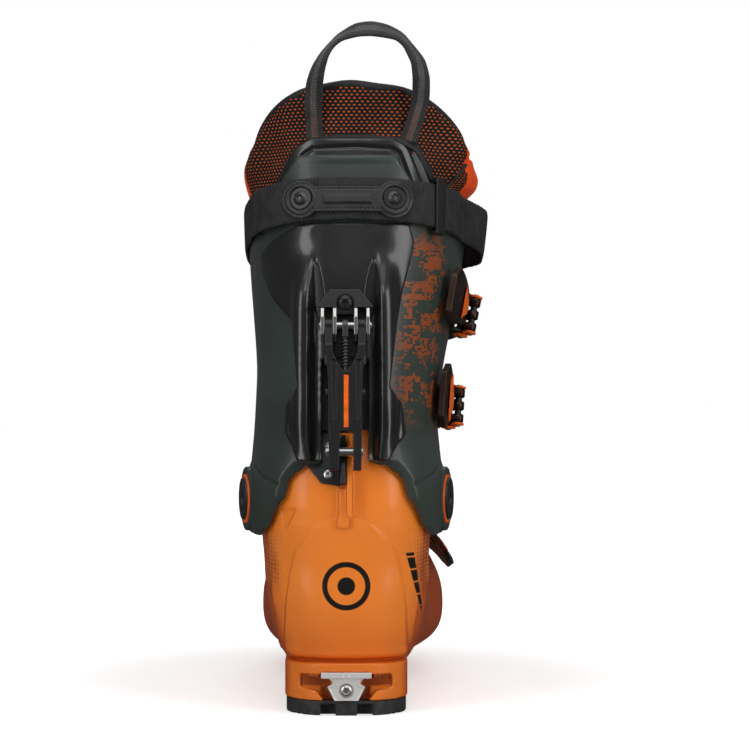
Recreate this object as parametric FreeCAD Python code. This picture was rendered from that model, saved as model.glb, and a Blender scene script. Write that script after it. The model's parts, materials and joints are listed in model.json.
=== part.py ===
# Alpine touring ski boot, right foot, mondo 26.5 (297 mm sole), in millimetres.
# Frame: +X is the lateral (outer) side, +Y points to the toe, +Z is up.
# Origin: on the floor, on the boot's centre plane, at the middle of the sole length (the mid-sole mark).
# Rest pose: cuff at its ski-mode lean, mode lever just unlatched, every buckle closed.
import FreeCAD
import Part
import math
import os
from FreeCAD import Vector

# ---------------------------------------------------------------- driving sizes
SOLE_LENGTH = 297.0
HEEL_Y = -SOLE_LENGTH / 2
TOE_Y = SOLE_LENGTH / 2
HEEL_WIDTH = 70.0
TOE_WIDTH = 69.0
LUG_HEIGHT = 8.4            # rubber under the shell's sole blocks
BLOCK_TOP = 29.0            # top of the ledge that a binding holds
PIVOT_Y = -76.0             # cuff pivot axis, parallel to X
PIVOT_Z = 118.0
SHELL_WALL = 4.5
CUFF_WALL = 4.0
SHELL_BARREL = (72.5, 50.0)     # radius and half width of the ankle barrel about the pivot
CUFF_BARREL = (79.0, 56.5)
BARREL_POWER = 3.0
LINER_GAP = 1.0
LINER_WALL = 8.0
LINER_SPLIT_R = 74.0        # foot liner and cuff liner part on this cylinder about the pivot
RUN_FIT = 0.05              # radial clearance of a pin in its hole
SKIN_GAP = 0.1              # gap between neighbouring flat pieces of one body
PATCH_GAP = 0.45            # gap under a curved piece that follows a skin
AROUND = 48                 # points around one skin section

FOOT = "foot"
LEG = "leg"

# One row per section: sole or rear point (y, z), instep or front point (y, z), where the widest line
# lies between them, half widths on the lateral and medial side, and the two superellipse powers.
SHELL_SECTIONS = [
    ((146.0, 30.0), (143.5, 46.0), 0.45, 22.0, 23.0, 2.3, 2.2),
    ((143.5, 21.0), (137.0, 58.0), 0.42, 32.0, 34.0, 2.5, 2.3),
    ((131.0, 15.0), (122.0, 70.0), 0.40, 43.0, 43.0, 2.8, 2.3),
    ((105.0, 12.0), (99.0, 80.0), 0.40, 54.0, 49.0, 3.0, 2.3),
    ((75.0, 12.0), (74.0, 88.0), 0.40, 61.0, 53.0, 3.0, 2.2),
    ((45.0, 12.0), (52.0, 97.0), 0.40, 62.5, 54.0, 3.0, 2.1),
    ((10.0, 12.0), (33.0, 108.0), 0.42, 58.0, 50.0, 2.8, 2.1),
    ((-30.0, 12.0), (18.0, 119.0), 0.45, 52.0, 47.0, 2.7, 2.1),
    ((-70.0, 12.0), (6.0, 129.0), 0.50, 49.0, 46.0, 2.7, 2.1),
    ((-108.0, 14.0), (-2.0, 138.0), 0.52, 49.0, 47.0, 2.6, 2.1),
    ((-132.0, 25.0), (-7.0, 145.0), 0.53, 50.0, 48.5, 2.5, 2.2),
    ((-143.0, 48.0), (-10.0, 150.0), 0.53, 51.0, 50.0, 2.5, 2.3),
    ((-148.0, 80.0), (-12.0, 155.0), 0.53, 51.0, 50.5, 2.5, 2.4),
    ((-148.5, 112.0), (-13.0, 160.0), 0.53, 50.0, 50.0, 2.6, 2.5),
    ((-144.0, 146.0), (-14.0, 166.0), 0.53, 48.0, 48.0, 2.6, 2.5),
    ((-128.0, 176.0), (-18.0, 174.0), 0.52, 45.0, 45.0, 2.6, 2.5),
    ((-116.0, 200.0), (-24.0, 190.0), 0.50, 42.0, 42.0, 2.5, 2.5),
]
CUFF_SECTIONS = [
    ((-140.0, 66.0), (10.0, 50.0), 0.50, 52.0, 52.0, 2.6, 2.5),
    ((-152.0, 95.0), (6.0, 78.0), 0.50, 55.5, 55.5, 2.6, 2.5),
    ((-155.0, 120.0), (3.0, 102.0), 0.50, 56.5, 56.5, 2.6, 2.5),
    ((-151.0, 148.0), (3.0, 126.0), 0.50, 55.5, 56.5, 2.5, 2.4),
    ((-148.0, 176.0), (4.0, 150.0), 0.50, 54.5, 54.5, 2.4, 2.3),
    ((-145.0, 206.0), (6.0, 178.0), 0.50, 57.0, 53.0, 2.4, 2.2),
    ((-141.0, 238.0), (10.0, 208.0), 0.50, 63.0, 55.0, 2.4, 2.2),
    ((-135.0, 270.0), (15.0, 238.0), 0.50, 69.0, 57.5, 2.4, 2.2),
    ((-129.0, 302.0), (20.0, 270.0), 0.50, 73.0, 59.0, 2.4, 2.2),
    ((-123.0, 336.0), (24.0, 304.0), 0.50, 75.0, 60.0, 2.4, 2.2),
    ((-120.0, 370.0), (26.0, 338.0), 0.50, 77.0, 60.0, 2.4, 2.2),
    ((-119.0, 404.0), (27.0, 372.0), 0.50, 78.0, 60.0, 2.4, 2.2),
]


# ---------------------------------------------------------------- small helpers
def pivot_cylinder(radius, half_length=150.0):
    return Part.makeCylinder(radius, 2 * half_length, Vector(-half_length, PIVOT_Y, PIVOT_Z), Vector(1, 0, 0))


def polygon_face(points):
    return Part.Face(Part.makePolygon(points + points[:1]))


def side_prism(outline, x0=-150.0, x1=150.0):
    """A (y, z) outline carried along X."""
    return polygon_face([Vector(x0, y, z) for y, z in outline]).extrude(Vector(x1 - x0, 0, 0))


def rear_prism(outline, y0, y1):
    """An (x, z) outline carried along Y."""
    return polygon_face([Vector(x, y0, z) for x, z in outline]).extrude(Vector(0, y1 - y0, 0))


def plan_prism(outline, z0, z1):
    """An (x, y) outline carried along Z."""
    return polygon_face([Vector(x, y, z0) for x, y in outline]).extrude(Vector(0, 0, z1 - z0))


def box(x0, x1, y0, y1, z0, z1):
    return Part.makeBox(x1 - x0, y1 - y0, z1 - z0, Vector(x0, y0, z0))


def rod(radius, start, end):
    axis = end - start
    return Part.makeCylinder(radius, axis.Length, start, axis)


def ring(outer, inner, start, end):
    return rod(outer, start, end).cut(rod(inner, start, end))


def smooth(value, low, high):
    share = min(1.0, max(0.0, (value - low) / (high - low)))
    return share * share * (3 - 2 * share)


def save(name, *shapes):
    solids = [solid for shape in shapes for solid in shape.Solids]
    shape = solids[0] if len(solids) == 1 else Part.makeCompound(solids)
    bad = "" if shape.isValid() else "  NOT VALID"
    print("%-24s %2d solids %9.0f mm3%s" % (name, len(solids), sum(s.Volume for s in solids), bad))
    shape.exportStep("parts/%s.step" % name)


# ---------------------------------------------------------------- skins
def catmull(p0, p1, p2, p3, share):
    """Smooth value between p1 and p2 for numbers or equal tuples of numbers."""
    if isinstance(p1, tuple):
        return tuple(catmull(a, b, c, d, share) for a, b, c, d in zip(p0, p1, p2, p3))
    s2, s3 = share * share, share * share * share
    return 0.5 * (2 * p1 + (p2 - p0) * share + (2 * p0 - 5 * p1 + 4 * p2 - p3) * s2
                  + (3 * p1 - p0 - 3 * p2 + p3) * s3)


def section_at(sections, place):
    """The section at a fractional row number."""
    row = min(int(place), len(sections) - 2)
    last = len(sections) - 1
    rows = [sections[min(max(row + step, 0), last)] for step in (-1, 0, 1, 2)]
    return catmull(*rows, place - row)


def to_barrel(point, barrel, share):
    """Moves a point part of the way onto the surface of revolution about the cuff pivot."""
    radius, half_width = barrel
    dy, dz = point.y - PIVOT_Y, point.z - PIVOT_Z
    reach = math.hypot(dy, dz) / radius
    size = (reach ** BARREL_POWER + (abs(point.x) / half_width) ** BARREL_POWER) ** (1 / BARREL_POWER)
    onto = Vector(point.x / size, PIVOT_Y + dy / size, PIVOT_Z + dz / size)
    return point + (onto - point) * share


def barrel_share(point, kind):
    """How much of the ankle barrel a skin point takes: all of it where the cuff slides on the shell."""
    dy, dz = point.y - PIVOT_Y, point.z - PIVOT_Z
    reach = math.hypot(dy, dz)
    angle = math.degrees(math.atan2(dz, dy)) % 360      # 0 forward, 90 up, 180 rearward
    near = 1 - smooth(reach, 34, 48)
    if kind == FOOT:
        rear_end = 190 + 40 * (1 - smooth(reach, 50, 66))
        around = smooth(angle, 5, 30) if angle < 120 else 1 - smooth(angle, rear_end, rear_end + 32)
        high = 1 - smooth(point.z, 176, 196)
    else:
        around = smooth(angle, 60, 100) if angle < 120 else 1 - smooth(angle, 205, 240)
        high = 1 - smooth(point.z, 146, 172)
    return max(near, around) * high


def skin_point(sections, kind, place, angle):
    """A point of the skin. Angle 0 is the instep or front, 90 the lateral side, 180 the sole or rear."""
    low, high, widest, lateral, medial, low_power, high_power = section_at(sections, place)
    foot, top = Vector(0, *low), Vector(0, *high)
    span = (top - foot).Length
    along = (top - foot) / span
    centre = foot + along * span * widest
    turn = math.radians(angle)
    c, s = math.cos(turn), math.sin(turn)
    reach, power = (span * (1 - widest), high_power) if c > 0 else (span * widest, low_power)
    width = lateral if s > 0 else medial
    size = ((abs(c) / reach) ** power + (abs(s) / width) ** power) ** (-1 / power)
    point = centre + along * (c * size) + Vector(s * size, 0, 0)
    barrel = SHELL_BARREL if kind == FOOT else CUFF_BARREL
    return to_barrel(point, barrel, barrel_share(point, kind))


def skin_frame(sections, kind, place, angle):
    """Point, unit tangent towards the front, unit axis of the section plane and unit outward normal."""
    point = skin_point(sections, kind, place, angle)
    forward = skin_point(sections, kind, place, angle - 1) - skin_point(sections, kind, place, angle + 1)
    along = skin_point(sections, kind, place + 0.05, angle) - skin_point(sections, kind, place - 0.05, angle)
    forward.normalize()
    outward = along.cross(forward)
    if outward.dot(point - Vector(0, *centre_line(sections, place))) < 0:
        outward = outward * -1
    outward.normalize()
    upward = outward.cross(forward)
    return point, forward, upward, outward


def centre_line(sections, place):
    low, high, widest = section_at(sections, place)[:3]
    return tuple(a + (b - a) * widest for a, b in zip(low, high))


def skin_grid(sections, kind, first, last, step, offset=0.0, start=0.0, end=360.0, around=AROUND):
    """Rows of points along a skin, moved outward by offset, a number or a function of place and angle."""
    rows = []
    count = int(round((last - first) / step))
    for row in range(count + 1):
        place = first + (last - first) * row / count
        line = []
        for column in range(around + 1):
            angle = start + (end - start) * column / around
            point = skin_point(sections, kind, place, angle)
            height = offset(place, angle) if callable(offset) else offset
            if height:
                point = point + skin_frame(sections, kind, place, angle)[3] * height
            line.append(point)
        rows.append(line)
    return rows


def surface_through(rows):
    surface = Part.BSplineSurface()
    surface.interpolate([list(column) for column in zip(*rows)])
    return surface


def tube_solid(rows):
    """A closed solid inside a tube of closed rows, with flat ends."""
    flat_rows = [flatten(rows[0])] + rows[1:-1] + [flatten(rows[-1])]
    surface = surface_through(flat_rows)
    _, _, low, high = surface.bounds()
    ends = [Part.Face(Part.Wire([surface.vIso(v).toShape()])) for v in (low, high)]
    shell = Part.Shell([surface.toShape()] + ends)
    shell.sewShape()
    solid = Part.Solid(shell)
    return solid if solid.Volume > 0 else solid.reversed()


def flatten(row):
    """The row moved onto the plane through its front, rear and side points."""
    quarter = len(row) // 4
    origin = row[0]
    normal = (row[2 * quarter] - origin).cross(row[quarter] - row[3 * quarter])
    normal.normalize()
    flat = [point - normal * (point - origin).dot(normal) for point in row]
    flat[-1] = flat[0]
    return flat


def sheet_solid(outer_rows, inner_rows):
    """A solid sheet between two matching open grids."""
    skins = [surface_through(outer_rows), surface_through(inner_rows)]
    faces = [skin.toShape() for skin in skins]
    limits = [skin.bounds() for skin in skins]
    for index in range(4):
        edges = []
        for skin, limit in zip(skins, limits):
            curve = skin.uIso(limit[index]) if index < 2 else skin.vIso(limit[index])
            edges.append(curve.toShape())
        faces.append(Part.makeRuledSurface(edges[0], edges[1]))
    shell = Part.Shell(faces)
    shell.sewShape()
    solid = Part.Solid(shell)
    return solid if solid.Volume > 0 else solid.reversed()


def patch(sections, kind, first, last, start, end, low, high, step=0.5, around=24):
    """A piece of skin between two offsets."""
    outer = skin_grid(sections, kind, first, last, step, high, start, end, around)
    inner = skin_grid(sections, kind, first, last, step, low, start, end, around)
    return sheet_solid(outer, inner)


# ---------------------------------------------------------------- lower shell
HEEL_CORNER = 26.0
TOE_CORNER = 30.0
COLLAR_LINE = [(-175, 178), (-124, 173), (-75, 161), (-8, 150), (40, 160), (40, 270), (-175, 270)]
THROAT = [(-3, 84), (3, 84), (15, 0), (17, -70), (-17, -70), (-15, 0)]
FLAP_HEIGHT = 3.6
LATCH_PIN = Vector(0, -149.6, 148.0)    # where the locked latch pin rests in the spine rail
LATCH_PIN_R = 2.5
RAIL_X = (-3.3, -0.2)
FIN_X = (0.1, 3.3)
FITTING_SCREW = Vector(0, HEEL_Y, 14.0)
FITTING_HOLE_R = 2.6
SPINE_SCREWS = [(-10.0, 135.5), (-10.0, 151.0)]     # (x, z) on the latch plate
SPINE_HOLE_R = 2.0
SOLE_SCREWS = [(-18.0, -100.0), (18.0, -100.0), (-18.0, 104.0), (18.0, 104.0)]      # (x, y) under the sole
SOLE_HOLE_R = 2.1
TOE_CUP_Y = TOE_Y - 17.0    # the toe sockets' cups
TOE_CUP_Z = 18.0
TOE_CUP_R = 7.0


def rounded_block(half_width, y0, y1, z0, z1, radius, inset=0.0):
    """A block whose far corners, at y1, are rounded; y1 is the boot's heel or toe end."""
    half_width, radius = half_width - inset, radius - inset
    y1 = y1 - math.copysign(inset, y1)
    block = box(-half_width, half_width, min(y0, y1), max(y0, y1), z0, z1)
    corners = [e for e in block.Edges if abs(e.Vertexes[0].Y - y1) < 1e-6 and abs(e.Vertexes[1].Y - y1) < 1e-6
               and abs(e.Vertexes[0].X - e.Vertexes[1].X) < 1e-6]
    return block.makeFillet(radius, corners)


def arc_plate(radius_in, radius_out, angle_low, angle_high, x0, x1):
    """A curved plate about the cuff pivot behind the heel; angles are degrees above the rear horizontal."""
    reach = 2 * radius_out
    wedge = [(PIVOT_Y, PIVOT_Z)]
    for angle in (angle_low, angle_high):
        turn = math.radians(angle)
        wedge.append((PIVOT_Y - reach * math.cos(turn), PIVOT_Z + reach * math.sin(turn)))
    disc = Part.makeCylinder(radius_out, x1 - x0, Vector(x0, PIVOT_Y, PIVOT_Z), Vector(1, 0, 0))
    hole = Part.makeCylinder(radius_in, x1 - x0, Vector(x0, PIVOT_Y, PIVOT_Z), Vector(1, 0, 0))
    return disc.cut(hole).common(side_prism(wedge, x0, x1))


def latch_notch():
    """The slot that the latch pin swings into, open to the rear."""
    pin = Part.makeCylinder(LATCH_PIN_R + 0.3, 20, LATCH_PIN - Vector(10, 0, 0), Vector(1, 0, 0))
    mouth = side_prism([(-149.6, 145.2), (-149.6, 150.8), (-165, 152.5), (-165, 143.5)], -10, 10)
    return pin.fuse(mouth)


def lap_flap(sections, kind, first, last, fade_first, fade_last):
    """The outer flap that laps over a front opening: fused to the medial side, free on the lateral side."""
    def top(place, angle):
        fade = smooth(place, *fade_first) * (1 - smooth(place, *fade_last))
        return 0.3 + (FLAP_HEIGHT - 0.3) * (1 - smooth(-angle, 24, 46)) * fade

    def under(place, angle):
        return 0.4 - 2.9 * smooth(-angle, 17, 24)

    rows = dict(first=first, last=last, step=0.5, start=-46.0, end=19.0, around=16)
    return sheet_solid(skin_grid(sections, kind, offset=top, **rows),
                       skin_grid(sections, kind, offset=under, **rows))


def tech_pockets():
    """Two sunk pockets beside the heel fitting."""
    right = [(5, 21.6), (26.5, 21.6), (25.5, 15), (17, 14), (12.5, 8.3), (5, 8.3)]
    left = [(-x, z) for x, z in right]
    return [rear_prism(outline, HEEL_Y - 5, HEEL_Y + 6.5) for outline in (right, left)]


def fitting_outline(grow=0.0):
    """The T shape of the heel fitting, half of it mirrored, with round notches for the binding's pins."""
    half = [(0, 24.4), (14.2, 24.4), (14.2, 21.2), (10.5, 20.8), (7.6, 19.2), (8.2, 17.6),
            (10.6, 16.4), (6.7, 8.6), (0, 8.6)]
    left = [(-x, z) for x, z in reversed(half[1:-1])]
    outline = half + left
    middle = 16.0
    return [(x + math.copysign(grow, x) if x else 0, z + math.copysign(grow, z - middle)) for x, z in outline]


def make_lower_shell(parts):
    outer = tube_solid(skin_grid(SHELL_SECTIONS, FOOT, 0, 16, 0.5))
    cavity = tube_solid(skin_grid(SHELL_SECTIONS, FOOT, 1.2, 16, 0.5, -SHELL_WALL))
    heel = rounded_block(HEEL_WIDTH / 2, -72, HEEL_Y, LUG_HEIGHT, BLOCK_TOP, HEEL_CORNER)
    toe = rounded_block(TOE_WIDTH / 2, 84, TOE_Y, LUG_HEIGHT, BLOCK_TOP - 2, TOE_CORNER)
    shell = outer.fuse(heel).fuse(toe).cut(cavity)
    flap = lap_flap(SHELL_SECTIONS, FOOT, 4.3, 14.0, (3, 4), (13.2, 15))
    shell = shell.cut(plan_prism(THROAT, 70, 260)).fuse(flap)
    shell = shell.cut(side_prism(COLLAR_LINE))
    fin = arc_plate(70, 81, -4, 30, *FIN_X).fuse(arc_plate(70, 75.5, -9, 7.4, -4.3, 1.0))
    shell = shell.fuse(fin).cut(latch_notch())
    for pocket in tech_pockets():
        shell = shell.cut(pocket)
    seat = rear_prism(fitting_outline(SKIN_GAP), HEEL_Y - 3, HEEL_Y + 2.6)
    bore = rod(FITTING_HOLE_R, FITTING_SCREW - Vector(0, 3, 0), FITTING_SCREW + Vector(0, 16, 0))
    shell = shell.cut(seat).cut(bore)
    for side in (1, -1):
        shell = shell.cut(rod(PIVOT_PIN_R + 0.02, Vector(side * 40, PIVOT_Y, PIVOT_Z),
                              Vector(side * 60, PIVOT_Y, PIVOT_Z)))
        shell = shell.cut(rod(TOE_CUP_R + SKIN_GAP, Vector(side * 22, TOE_CUP_Y, TOE_CUP_Z),
                              Vector(side * 40, TOE_CUP_Y, TOE_CUP_Z)))
    for x, z in SPINE_SCREWS:
        shell = shell.cut(rod(SPINE_HOLE_R, Vector(x, -160, z), Vector(x, -135, z)))
    for x, y in SOLE_SCREWS:
        shell = shell.cut(rod(SOLE_HOLE_R, Vector(x, y, 0), Vector(x, y, 18)))
    parts["lower_shell"] = max(shell.Solids, key=lambda solid: solid.Volume)


def make_sole(parts):
    heel = rounded_block(HEEL_WIDTH / 2, -74, HEEL_Y, 0, LUG_HEIGHT - SKIN_GAP, HEEL_CORNER, 0.8)
    toe = rounded_block(TOE_WIDTH / 2, 80, TOE_Y, 0, LUG_HEIGHT - SKIN_GAP, TOE_CORNER, 0.8)
    rocker = Part.makeCylinder(150, 200, Vector(-100, 96, 150), Vector(1, 0, 0))
    rocker = rocker.fuse(box(-100, 100, 60, 96, 0, 60))
    toe = toe.common(rocker)
    grooves = [box(-14.5, -6, HEEL_Y - 2, HEEL_Y + 7, -1, 6.4), box(6, 14.5, HEEL_Y - 2, HEEL_Y + 7, -1, 6.4)]
    for x in (-28.5, -25.5, 25.5, 28.5):
        grooves.append(box(x - 0.5, x + 0.5, HEEL_Y - 2, HEEL_Y + 14, -1, 3.6))
    for y in (-132, -118, -104, -90):
        for side in (1, -1):
            slot = [(side * 9, y), (side * 40, y + 7), (side * 40, y + 11), (side * 9, y + 4)]
            grooves.append(plan_prism(slot, -1, 4.4))
    for y in (88, 102, 116, 130):
        for side in (1, -1):
            slot = [(side * 8, y + 5), (side * 40, y), (side * 40, y + 4), (side * 8, y + 9)]
            grooves.append(plan_prism(slot, -1, 4.4))
    for x, y in SOLE_SCREWS:
        grooves.append(rod(SOLE_HOLE_R, Vector(x, y, -1), Vector(x, y, 12)))
        grooves.append(rod(4.1, Vector(x, y, -1), Vector(x, y, 4.0)))
    for groove in grooves:
        heel, toe = heel.cut(groove), toe.cut(groove)
    parts["heel_sole_lug"] = heel
    parts["toe_sole_lug"] = toe
    screws = []
    for x, y in SOLE_SCREWS:
        head = rod(3.9, Vector(x, y, 1.6), Vector(x, y, 4.0))
        shank = rod(2.0, Vector(x, y, 4.0), Vector(x, y, 16.0))
        screws.append(head.fuse(shank).cut(torx(Vector(x, y, 1.6), Vector(0, 0, 1), 1.9, 1.5)))
    parts["sole_screws"] = Part.makeCompound(screws)


def torx(point, inward, radius, depth):
    """A six-lobed recess cut into a screw head."""
    side = Vector(1, 0, 0) if abs(inward.x) < 0.9 else Vector(0, 1, 0)
    across = inward.cross(side)
    start = point - inward * 0.5
    recess = rod(radius * 0.72, start, point + inward * depth)
    for lobe in range(6):
        turn = math.radians(60 * lobe)
        centre = start + (side * math.cos(turn) + across * math.sin(turn)) * radius * 0.72
        recess = recess.fuse(rod(radius * 0.28, centre, centre + inward * (depth + 0.5)))
    return recess


def dome_screw(point, outward, head_r, head_h, shank_r, shank_length):
    """A domed screw: point is the centre of the head's flat underside."""
    sphere_r = (head_r ** 2 + head_h ** 2) / (2 * head_h)
    ball = Part.makeSphere(sphere_r, point + outward * (head_h - sphere_r))
    head = ball.common(rod(head_r, point, point + outward * (head_h + 1)))
    body = head.fuse(rod(shank_r, point - outward * shank_length, point + outward * 0.2))
    return body.cut(torx(point + outward * head_h, outward * -1, head_r * 0.5, head_h * 0.75))


def make_fittings(parts):
    plate = rear_prism(fitting_outline(), HEEL_Y - 1.6, HEEL_Y + 2.5)
    bar = box(-14.2, 14.2, HEEL_Y - 3.0, HEEL_Y - 1.0, 21.4, 24.4)
    valley = [(-2.2, 25), (2.2, 25), (0.25, 19), (-0.25, 19)]
    plate = plate.fuse(bar).cut(rear_prism(valley, HEEL_Y - 4, HEEL_Y - 1.9))
    for side in (1, -1):
        notch = rod(2.2, Vector(side * 10.6, HEEL_Y - 5, 18.9), Vector(side * 10.6, HEEL_Y + 5, 18.9))
        facet = [(side * 5.0, 17.2), (side * 9.6, 15.6), (side * 6.0, 9.0), (side * 4.2, 9.0)]
        plate = plate.cut(notch).cut(rear_prism(facet, HEEL_Y - 3, HEEL_Y - 1.2))
    head_seat = rod(4.3, FITTING_SCREW - Vector(0, 4, 0), FITTING_SCREW - Vector(0, 0.2, 0))
    bore = rod(FITTING_HOLE_R, FITTING_SCREW - Vector(0, 3, 0), FITTING_SCREW + Vector(0, 8, 0))
    plate = plate.cut(head_seat).cut(bore)
    parts["heel_tech_fitting"] = plate
    seat = FITTING_SCREW - Vector(0, 0.2, 0)
    parts["heel_fitting_screw"] = dome_screw(seat, Vector(0, -1, 0), 4.1, 1.9, 2.5, 12)
    cups = []
    for side in (1, -1):
        cup = rod(TOE_CUP_R, Vector(side * 23, TOE_CUP_Y, TOE_CUP_Z), Vector(side * 33.6, TOE_CUP_Y, TOE_CUP_Z))
        socket = Part.makeCone(0.6, 3.4, 5, Vector(side * 28.7, TOE_CUP_Y, TOE_CUP_Z), Vector(side, 0, 0))
        entry = box(*sorted((side * 30, side * 40)), TOE_CUP_Y - 1.5, TOE_CUP_Y + 1.5, 5, TOE_CUP_Z)
        cup = cup.cut(socket).cut(entry)
        cups.append(cup)
    parts["toe_tech_fittings"] = Part.makeCompound(cups)


# ---------------------------------------------------------------- pivots
PIVOT_PIN_R = 9.0
PIVOT_BORE_R = 4.0          # hole through the bush, which the cap's stem fills
PIVOT_CAP_R = 12.4
PIVOT_RING_R = 14.4
BUSH_X = (45.8, 57.4)       # inner and outer end of a bush
CAP_X = 61.2                # outer face of the cap
CAP_DOT_X = 60.6            # floor of the cap's three small pits, and the outer face of the ring


def make_pivots(parts):
    pins, caps, rings = [], [], []
    for side in (1, -1):
        def on_axis(x):
            return Vector(side * x, PIVOT_Y, PIVOT_Z)

        inner, outer = on_axis(BUSH_X[0]), on_axis(BUSH_X[1])
        seat, face = on_axis(BUSH_X[1] + 0.05), on_axis(CAP_X)
        pins.append(rod(PIVOT_PIN_R, inner, outer).cut(rod(PIVOT_BORE_R, inner, outer)))
        cap = rod(PIVOT_CAP_R, seat, face)
        turns = [math.radians(60 * corner) for corner in range(6)]
        corners = [(4.6 * math.cos(turn), 4.6 * math.sin(turn)) for turn in turns]
        hexagon = polygon_face([on_axis(CAP_X - 1.8) + Vector(0, y, z) for y, z in corners])
        cap = cap.cut(hexagon.extrude(Vector(side * 4, 0, 0)))
        for k in range(3):
            turn = math.radians(90 + 120 * k)
            dot = Vector(0, 8.6 * math.cos(turn), 8.6 * math.sin(turn))
            cap = cap.cut(rod(1.3, on_axis(CAP_DOT_X) + dot, on_axis(CAP_X + 1) + dot))
        stem = rod(PIVOT_BORE_R - 0.05, on_axis(BUSH_X[0] + 0.5), on_axis(BUSH_X[1] + 0.1))
        caps.append(cap.fuse(stem))
        rings.append(ring(PIVOT_RING_R, PIVOT_CAP_R + 0.03, seat, on_axis(CAP_DOT_X)))
    parts["pivot_bushes"] = Part.makeCompound(pins)
    parts["pivot_caps"] = Part.makeCompound(caps)
    parts["pivot_rings"] = Part.makeCompound(rings)


# ---------------------------------------------------------------- inside the lower shell
BOARD_TOP = 25.0
LINER_FLOOR = 31.0


def make_foot_liner(parts):
    room = tube_solid(skin_grid(SHELL_SECTIONS, FOOT, 1.4, 16, 0.5, -SHELL_WALL - 0.5))
    outer = tube_solid(skin_grid(SHELL_SECTIONS, FOOT, 1.6, 16, 0.5, -SHELL_WALL - LINER_GAP - 0.9))
    inner = tube_solid(skin_grid(SHELL_SECTIONS, FOOT, 2.2, 16, 0.5, -SHELL_WALL - LINER_GAP - LINER_WALL))
    parts["boot_board"] = room.common(box(-80, 80, -160, 118, 10, BOARD_TOP))
    above_board = box(-90, 90, -170, 160, BOARD_TOP + SKIN_GAP, 300)
    under_split = pivot_cylinder(LINER_SPLIT_R - 1.0)
    front = side_prism([(-76, -40), (-76, 118), (-4, 136), (200, 136), (200, -40)])
    low_rear = side_prism([(-76, -40), (-76, 118), (-170, 118), (-170, -40)])
    reach = under_split.fuse(front).fuse(low_rear)
    top_line = side_prism([(-170, 0), (-170, 168), (-124, 168), (-8, 144), (200, 144), (200, 0)])
    liner = outer.common(above_board).common(reach).common(top_line)
    liner = liner.cut(inner.common(box(-90, 90, -170, 160, LINER_FLOOR, 300)))
    parts["foot_liner"] = max(liner.Solids, key=lambda solid: solid.Volume)
    insole = inner.common(box(-80, 80, -160, 105, LINER_FLOOR + SKIN_GAP, LINER_FLOOR + 4))
    parts["insole"] = max(insole.Solids, key=lambda solid: solid.Volume)


def make_spine(parts):
    """The latch plate and rail on the back of the shell, under the mode lever."""
    outline = [(-22.5, 172), (-22.5, 140.5), (-14.2, 130.6), (-3.5, 128.8), (-3.5, 172)]
    plate = patch(SHELL_SECTIONS, FOOT, 13.0, 15.2, 170, 215, 0.3, 1.9, 0.25, 20)
    plate = plate.common(rear_prism(outline, -200, -76))
    barrel = tube_solid(skin_grid(SHELL_SECTIONS, FOOT, 10, 16, 0.5, SKIN_GAP))
    for x, z in SPINE_SCREWS:
        plate = plate.cut(rod(SPINE_HOLE_R, Vector(x, -165, z), Vector(x, -125, z)))
    parts["spine_latch_plate"] = plate
    rail = arc_plate(72.8, 82.0, 9, 29, *RAIL_X).cut(latch_notch()).cut(barrel)
    parts["spine_latch_rail"] = max(rail.Solids, key=lambda solid: solid.Volume)
    screws = []
    for x, z in SPINE_SCREWS:
        turn = math.asin((z - PIVOT_Z) / 74.5)
        outward = Vector(0, -math.cos(turn), math.sin(turn))
        seat = Vector(x, PIVOT_Y, PIVOT_Z) + outward * 74.7
        screws.append(dome_screw(seat, outward, 3.0, 0.8, 1.4, 1.2))
    parts["spine_screws"] = Part.makeCompound(screws)
    gusset = patch(SHELL_SECTIONS, FOOT, 5.0, 13.5, -30, 30, -SHELL_WALL - 1.3, -SHELL_WALL - 0.4, 0.5, 12)
    ahead = side_prism([(-76, 60), (-76, 118), (-6, 140), (90, 140), (90, 60)])
    gusset = gusset.common(pivot_cylinder(72.0).fuse(ahead))
    parts["throat_gusset"] = gusset.cut(side_prism(COLLAR_LINE))


# ---------------------------------------------------------------- cuff
CUFF_LOWER = [(-175, 143), (-147, 143), (-144.6, 132), (-144, 122), (-140, 115.5), (-133, 105.2),
              (-122, 99.4), (-92, 99.2), (-66, 97),
              (-54, 106), (-44, 124), (-28, 146), (-5, 166), (60, 178), (60, -40), (-175, -40)]
CUFF_UPPER = [(-175, 308), (30, 262), (60, 255), (60, 450), (-175, 450)]
REAR_TAB = [(-28, 317), (28, 317), (37, 304), (42, 280), (-42, 280), (-37, 304)]
LEVER_SLOT = (-13.6, 12.4, 200.0)      # side limits and top of the slot behind the mode lever
SPINE_OUTLINE = [(-26, 278), (-42, 269), (-50, 261), (-49.5, 251), (-43, 236), (-31, 222), (-27.7, 185),
                 (-33.5, 174), (-34, 160), (-27.7, 143), (23.4, 143), (33, 159), (30.5, 176), (24.5, 185),
                 (29, 222), (32, 239), (38, 261), (39, 267), (36, 278)]
SPINE_CHANNEL = (-18.5, 16.5)


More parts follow.
